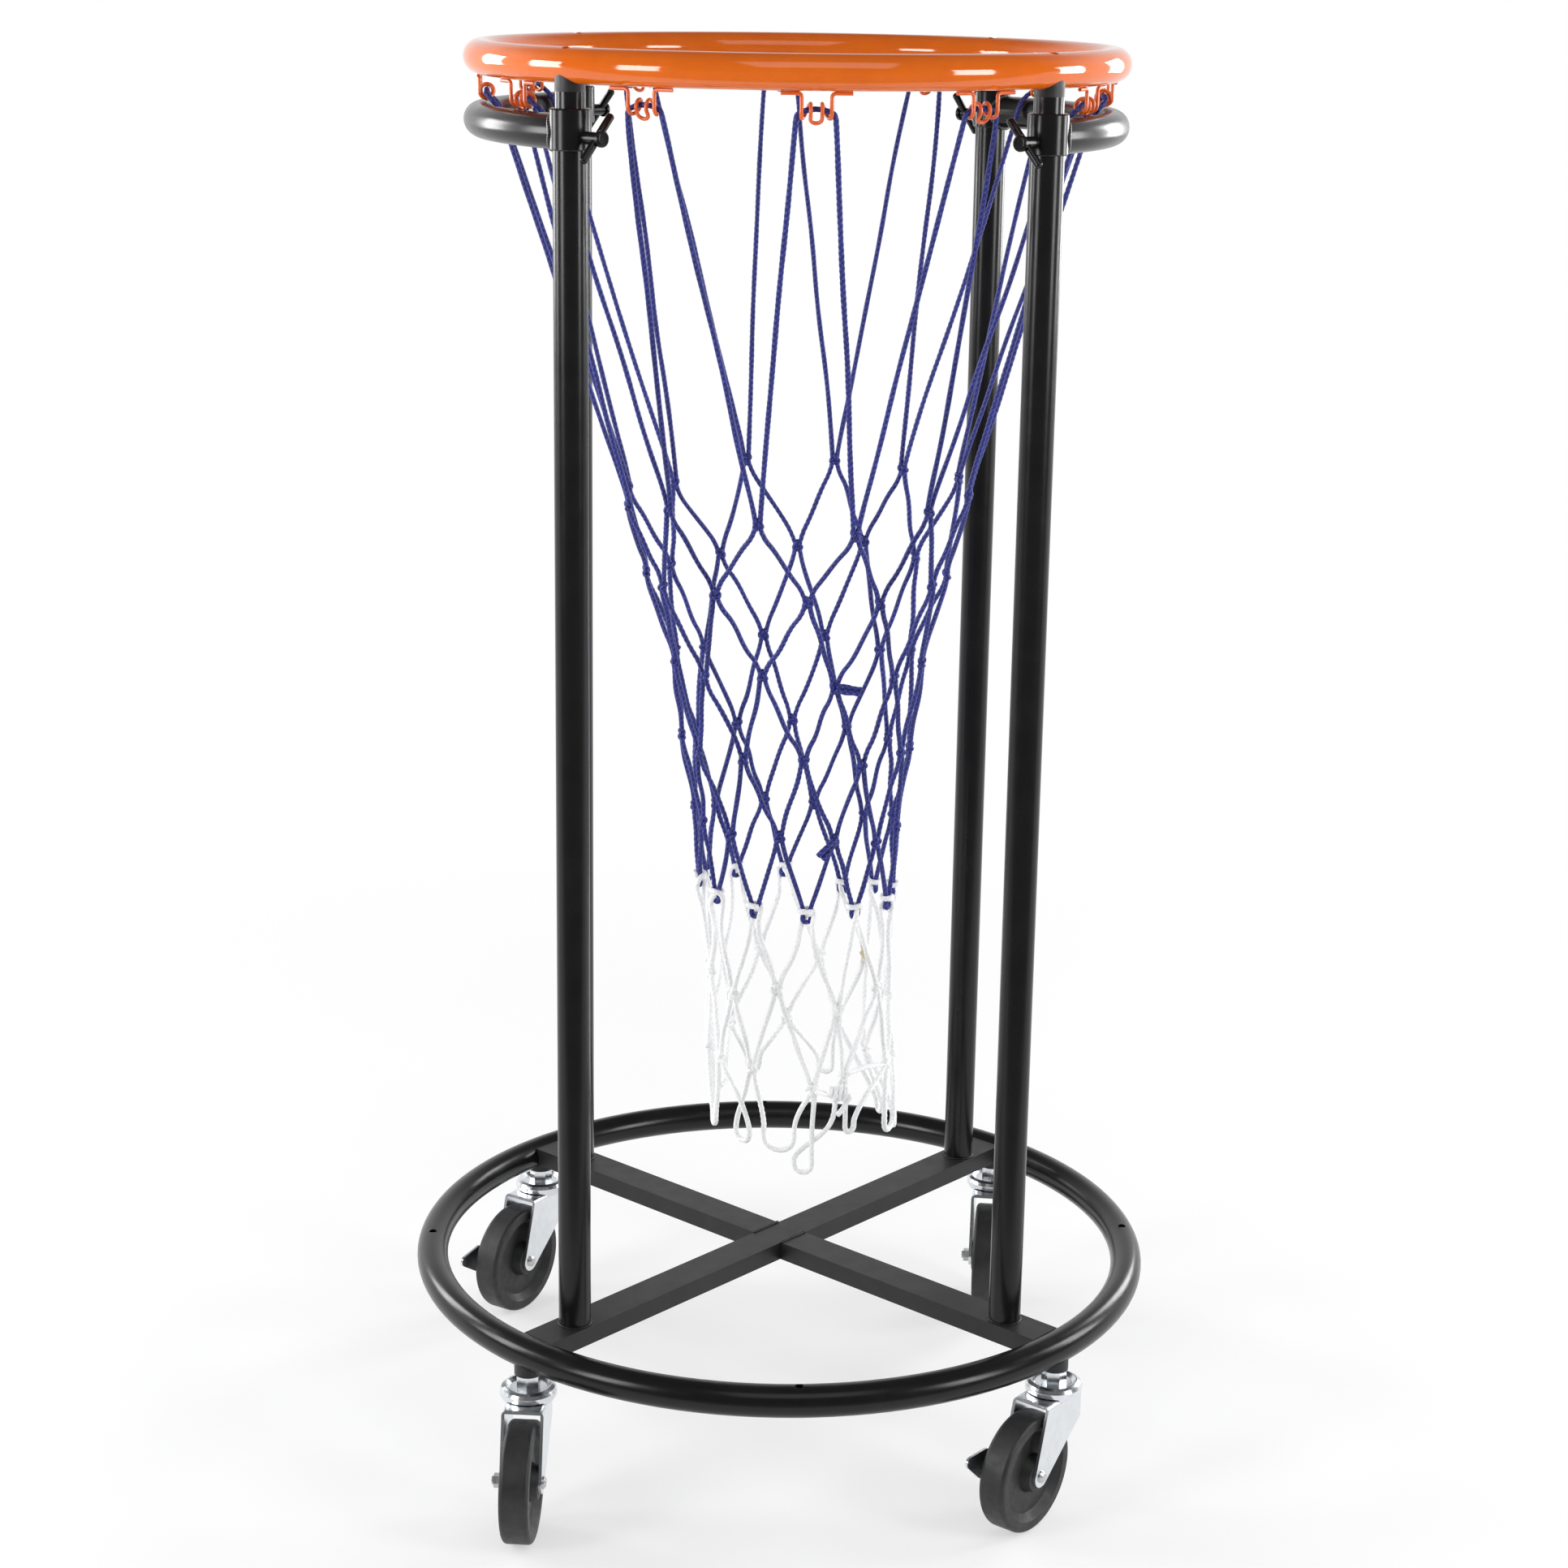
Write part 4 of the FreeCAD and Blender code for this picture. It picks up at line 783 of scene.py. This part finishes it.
SCALE_LENGTH = 2.1
POST_BEAD_R = 0.9
HANDLE_BEAD_R = 1.5
BAR_BEAD_R = 1.3
SEAM_STEPS = 48


def ripples(travel, angle):
    """The scales of a weld bead."""
    scale = np.abs(np.sin(travel * math.pi / SCALE_LENGTH + 0.5 * np.cos(angle)))
    return 2 * scale - 1, 0.86 + 0.22 * scale


beads = Tubes()
handle_beads = Tubes()


def bead(tubes, points, closed, radius):
    tubes.add(np.array(points), radius, ripples, sides=8, step=0.5, closed=closed)


def turns_of_seam():
    return [2 * math.pi * step / SEAM_STEPS for step in range(SEAM_STEPS + 1)]


def circle(centre, radius):
    return [
        centre + Vector((math.cos(turn), math.sin(turn), 0)) * radius for turn in turns_of_seam()
    ]


CORNER_ANGLES = (45, 135, 225, 315)
for corner in CORNER_ANGLES:
    turn = math.radians(corner)
    outward = Vector((math.cos(turn), math.sin(turn), 0))
    aside = Vector((-math.sin(turn), math.cos(turn), 0))
    bead(beads, circle(outward * HOOP_R + UP * (BAR_TOP + 0.2), TUBE_R + 0.2), True, POST_BEAD_R)
    handle_side = aside if corner in (135, 315) else -aside
    collar_axis = outward * HOOP_R + UP * (HOOP_Z - HANDLE_DROP)
    seam = []
    for t in turns_of_seam():
        out = (TUBE_R + 0.4) * math.cos(t)
        high = (TUBE_R + 0.4) * math.sin(t)
        reach = math.sqrt((COLLAR_R + 0.4) ** 2 - out ** 2)
        seam.append(collar_axis + handle_side * reach + outward * out + UP * high)
    bead(handle_beads, seam, True, HANDLE_BEAD_R)
for side in (-1, 1):
    along = Vector((math.sqrt(0.5), math.sqrt(0.5), 0))
    across = Vector((-math.sqrt(0.5), math.sqrt(0.5), 0)) * side
    edge = across * (BAR_WIDTH / 2 + 0.3) + UP * (BAR_TOP + 0.1)
    half = along * (BAR_WIDTH / 2)
    bead(beads, [edge - half, edge + half], False, BAR_BEAD_R)
weld_beads = beads.build("weld_beads", black_coat)
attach(weld_beads, "frame")
# The welds' grey, paler than the black coat, is painted highlight for the silvery glint of their
# uneven beads; their gloss is the paint's own.
weld_coat = paint(
    "weld_coat", (0.02, 0.02, 0.021), (0.05, 0.05, 0.052), 0.12, 0.2, 0.2, Specular_IOR_Level=0.8,
)
handle_welds = handle_beads.build("handle_welds", weld_coat)
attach(handle_welds, "frame")


# Floor, light and camera

FLOOR_HALF = 60
# The floor is half an even white at the first distance from the middle, all of it at the second.
WHITE_NEAR, WHITE_FAR, WHITE_LEAST = 0.45, 1.7, 0.5
# In front of the object gloss sees the studio's paper end, from the first Y to the second.
PAPER_END = (-0.55, -0.85)
BEYOND_PAPER = 0.2
ROOM_IN_GLOSS = 0.12
ROOM_LIGHT = 0.3


def floor_material():
    """White floor. Some of what is seen of it is even white, more of it further from the object.

    Gloss sees it end in front of the object and a dim room beyond.
    """
    finish = Finish("floor_white", (0.9, 0.9, 0.9), 0.7, Specular_IOR_Level=0.1)
    finish.colour(finish.ramp(finish.noise(3, 2), (0.3, 0.9), (0.7, 0.92)))
    white = finish.node("ShaderNodeEmission", Color=(1, 1, 1, 1), Strength=1.0)
    dim = finish.node("ShaderNodeEmission", Color=(1, 1, 1, 1), Strength=BEYOND_PAPER)
    away = finish.node("ShaderNodeVectorMath", Vector=finish.place)
    away.operation = "LENGTH"
    far = finish.fade(away.outputs["Value"], WHITE_NEAR, WHITE_FAR, WHITE_LEAST)
    path = finish.node("ShaderNodeLightPath").outputs
    mirrored = finish.maths("MAXIMUM", path["Is Glossy Ray"], path["Is Transmission Ray"])
    looked = finish.maths("MAXIMUM", path["Is Camera Ray"], mirrored)
    seen = finish.maths("MULTIPLY", far, looked)
    lit = finish.blend(seen, finish.shader.outputs[0], white.outputs[0])
    across = finish.node("ShaderNodeSeparateXYZ", Vector=finish.place)
    in_front = finish.fade(across.outputs["Y"], *PAPER_END)
    beyond = finish.maths("MULTIPLY", in_front, path["Is Glossy Ray"])
    whole = finish.blend(beyond, lit, dim.outputs[0])
    out = finish.tree.nodes["Material Output"]
    finish.tree.links.new(whole, out.inputs["Surface"])
    return finish.material


floor_mesh = bpy.data.meshes.new("floor")
corners = ((-1, -1, 0), (1, -1, 0), (1, 1, 0), (-1, 1, 0))
floor_mesh.from_pydata([Vector(corner) * FLOOR_HALF for corner in corners], [], [(0, 1, 2, 3)])
floor_mesh.materials.append(floor_material())
floor = bpy.data.objects.new("floor", floor_mesh)
scene.collection.objects.link(floor)
floor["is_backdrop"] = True


def studio_world():
    """White to the eye all round. Gloss shows white behind the object and a dim room in front."""
    world = bpy.data.worlds.new("studio")
    world.use_nodes = True
    nodes, links = world.node_tree.nodes, world.node_tree.links
    nodes.clear()

    def background(level):
        made = nodes.new("ShaderNodeBackground")
        made.inputs["Color"].default_value = (level, level, level * 1.01, 1)
        return made.outputs[0]

    def either(factor, one, two):
        made = nodes.new("ShaderNodeMixShader")
        for socket, value in zip(made.inputs, (factor, one, two)):
            links.new(value, socket)
        return made.outputs[0]

    def maths(operation, one, two):
        made = nodes.new("ShaderNodeMath")
        made.operation = operation
        links.new(one, made.inputs[0])
        links.new(two, made.inputs[1])
        return made.outputs[0]

    def fade(value, low, high):
        made = nodes.new("ShaderNodeMapRange")
        made.interpolation_type = "SMOOTHSTEP"
        links.new(value, made.inputs["Value"])
        made.inputs["From Min"].default_value = low
        made.inputs["From Max"].default_value = high
        return made.outputs["Result"]

    path = nodes.new("ShaderNodeLightPath").outputs
    towards = nodes.new("ShaderNodeSeparateXYZ")
    links.new(nodes.new("ShaderNodeTexCoord").outputs["Generated"], towards.inputs[0])
    behind = maths(
        "MULTIPLY", fade(towards.outputs["Y"], 0.0, 0.5), fade(towards.outputs["Z"], 0.75, 0.35),
    )
    mirrored = maths("MAXIMUM", path["Is Glossy Ray"], path["Is Transmission Ray"])
    room = either(behind, background(ROOM_IN_GLOSS), background(1.0))
    lit = either(mirrored, background(ROOM_LIGHT), room)
    seen = either(path["Is Camera Ray"], lit, background(1.0))
    links.new(seen, nodes.new("ShaderNodeOutputWorld").inputs[0])
    return world


scene.world = studio_world()


def softbox(name, place, aim, width, height, power):
    lamp = bpy.data.lights.new(name, "AREA")
    lamp.shape = "RECTANGLE"
    lamp.size = width
    lamp.size_y = height
    lamp.energy = power
    holder = bpy.data.objects.new(name, lamp)
    holder.location = place
    holder.rotation_euler = (Vector(aim) - Vector(place)).to_track_quat("-Z", "Y").to_euler()
    scene.collection.objects.link(holder)


# Tall softboxes stand round the object, at these angles round from the front towards +X, and a
# wide one hangs over the camera.
LAMP_ANGLES = (-125, -93, -55, 55, 98, 132)
LAMP_DISTANCE = 2.4
LAMP_HEIGHT = 1.2
LAMP_AIM = (0, 0, 0.9)
LAMP_SIZE = (0.62, 1.0)
LAMP_POWER = 22
for number, angle in enumerate(LAMP_ANGLES, start=1):
    turn = math.radians(angle)
    lamp_place = (LAMP_DISTANCE * math.sin(turn), -LAMP_DISTANCE * math.cos(turn), LAMP_HEIGHT)
    softbox("lamp_%d" % number, lamp_place, LAMP_AIM, *LAMP_SIZE, LAMP_POWER)
softbox("lamp_front", (0.2, -1.9, 2.9), (0, 0, 0.7), 2.0, 1.6, 12)

camera_data = bpy.data.cameras.new("camera")
camera_data.sensor_width = 36
camera_data.lens = 70.16
camera_data.shift_x = 0.0096
camera_data.clip_end = 200
camera = bpy.data.objects.new("camera", camera_data)
scene.collection.objects.link(camera)
CAMERA_PLACE = Vector((-0.138, -2.390, 1.203))
heading, pitch, roll = math.radians(2.969), math.radians(15.462), math.radians(0.788)
ahead = Vector((
    math.sin(heading) * math.cos(pitch), math.cos(heading) * math.cos(pitch), -math.sin(pitch),
))
level = Vector((math.cos(heading), -math.sin(heading), 0))
upright = level.cross(ahead)
right = level * math.cos(roll) + upright * math.sin(roll)
top = upright * math.cos(roll) - level * math.sin(roll)
turned = Matrix((right, top, -ahead)).transposed().to_4x4()
camera.matrix_world = Matrix.Translation(CAMERA_PLACE) @ turned
scene.camera = camera
scene.view_settings.view_transform = "Standard"

low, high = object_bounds()
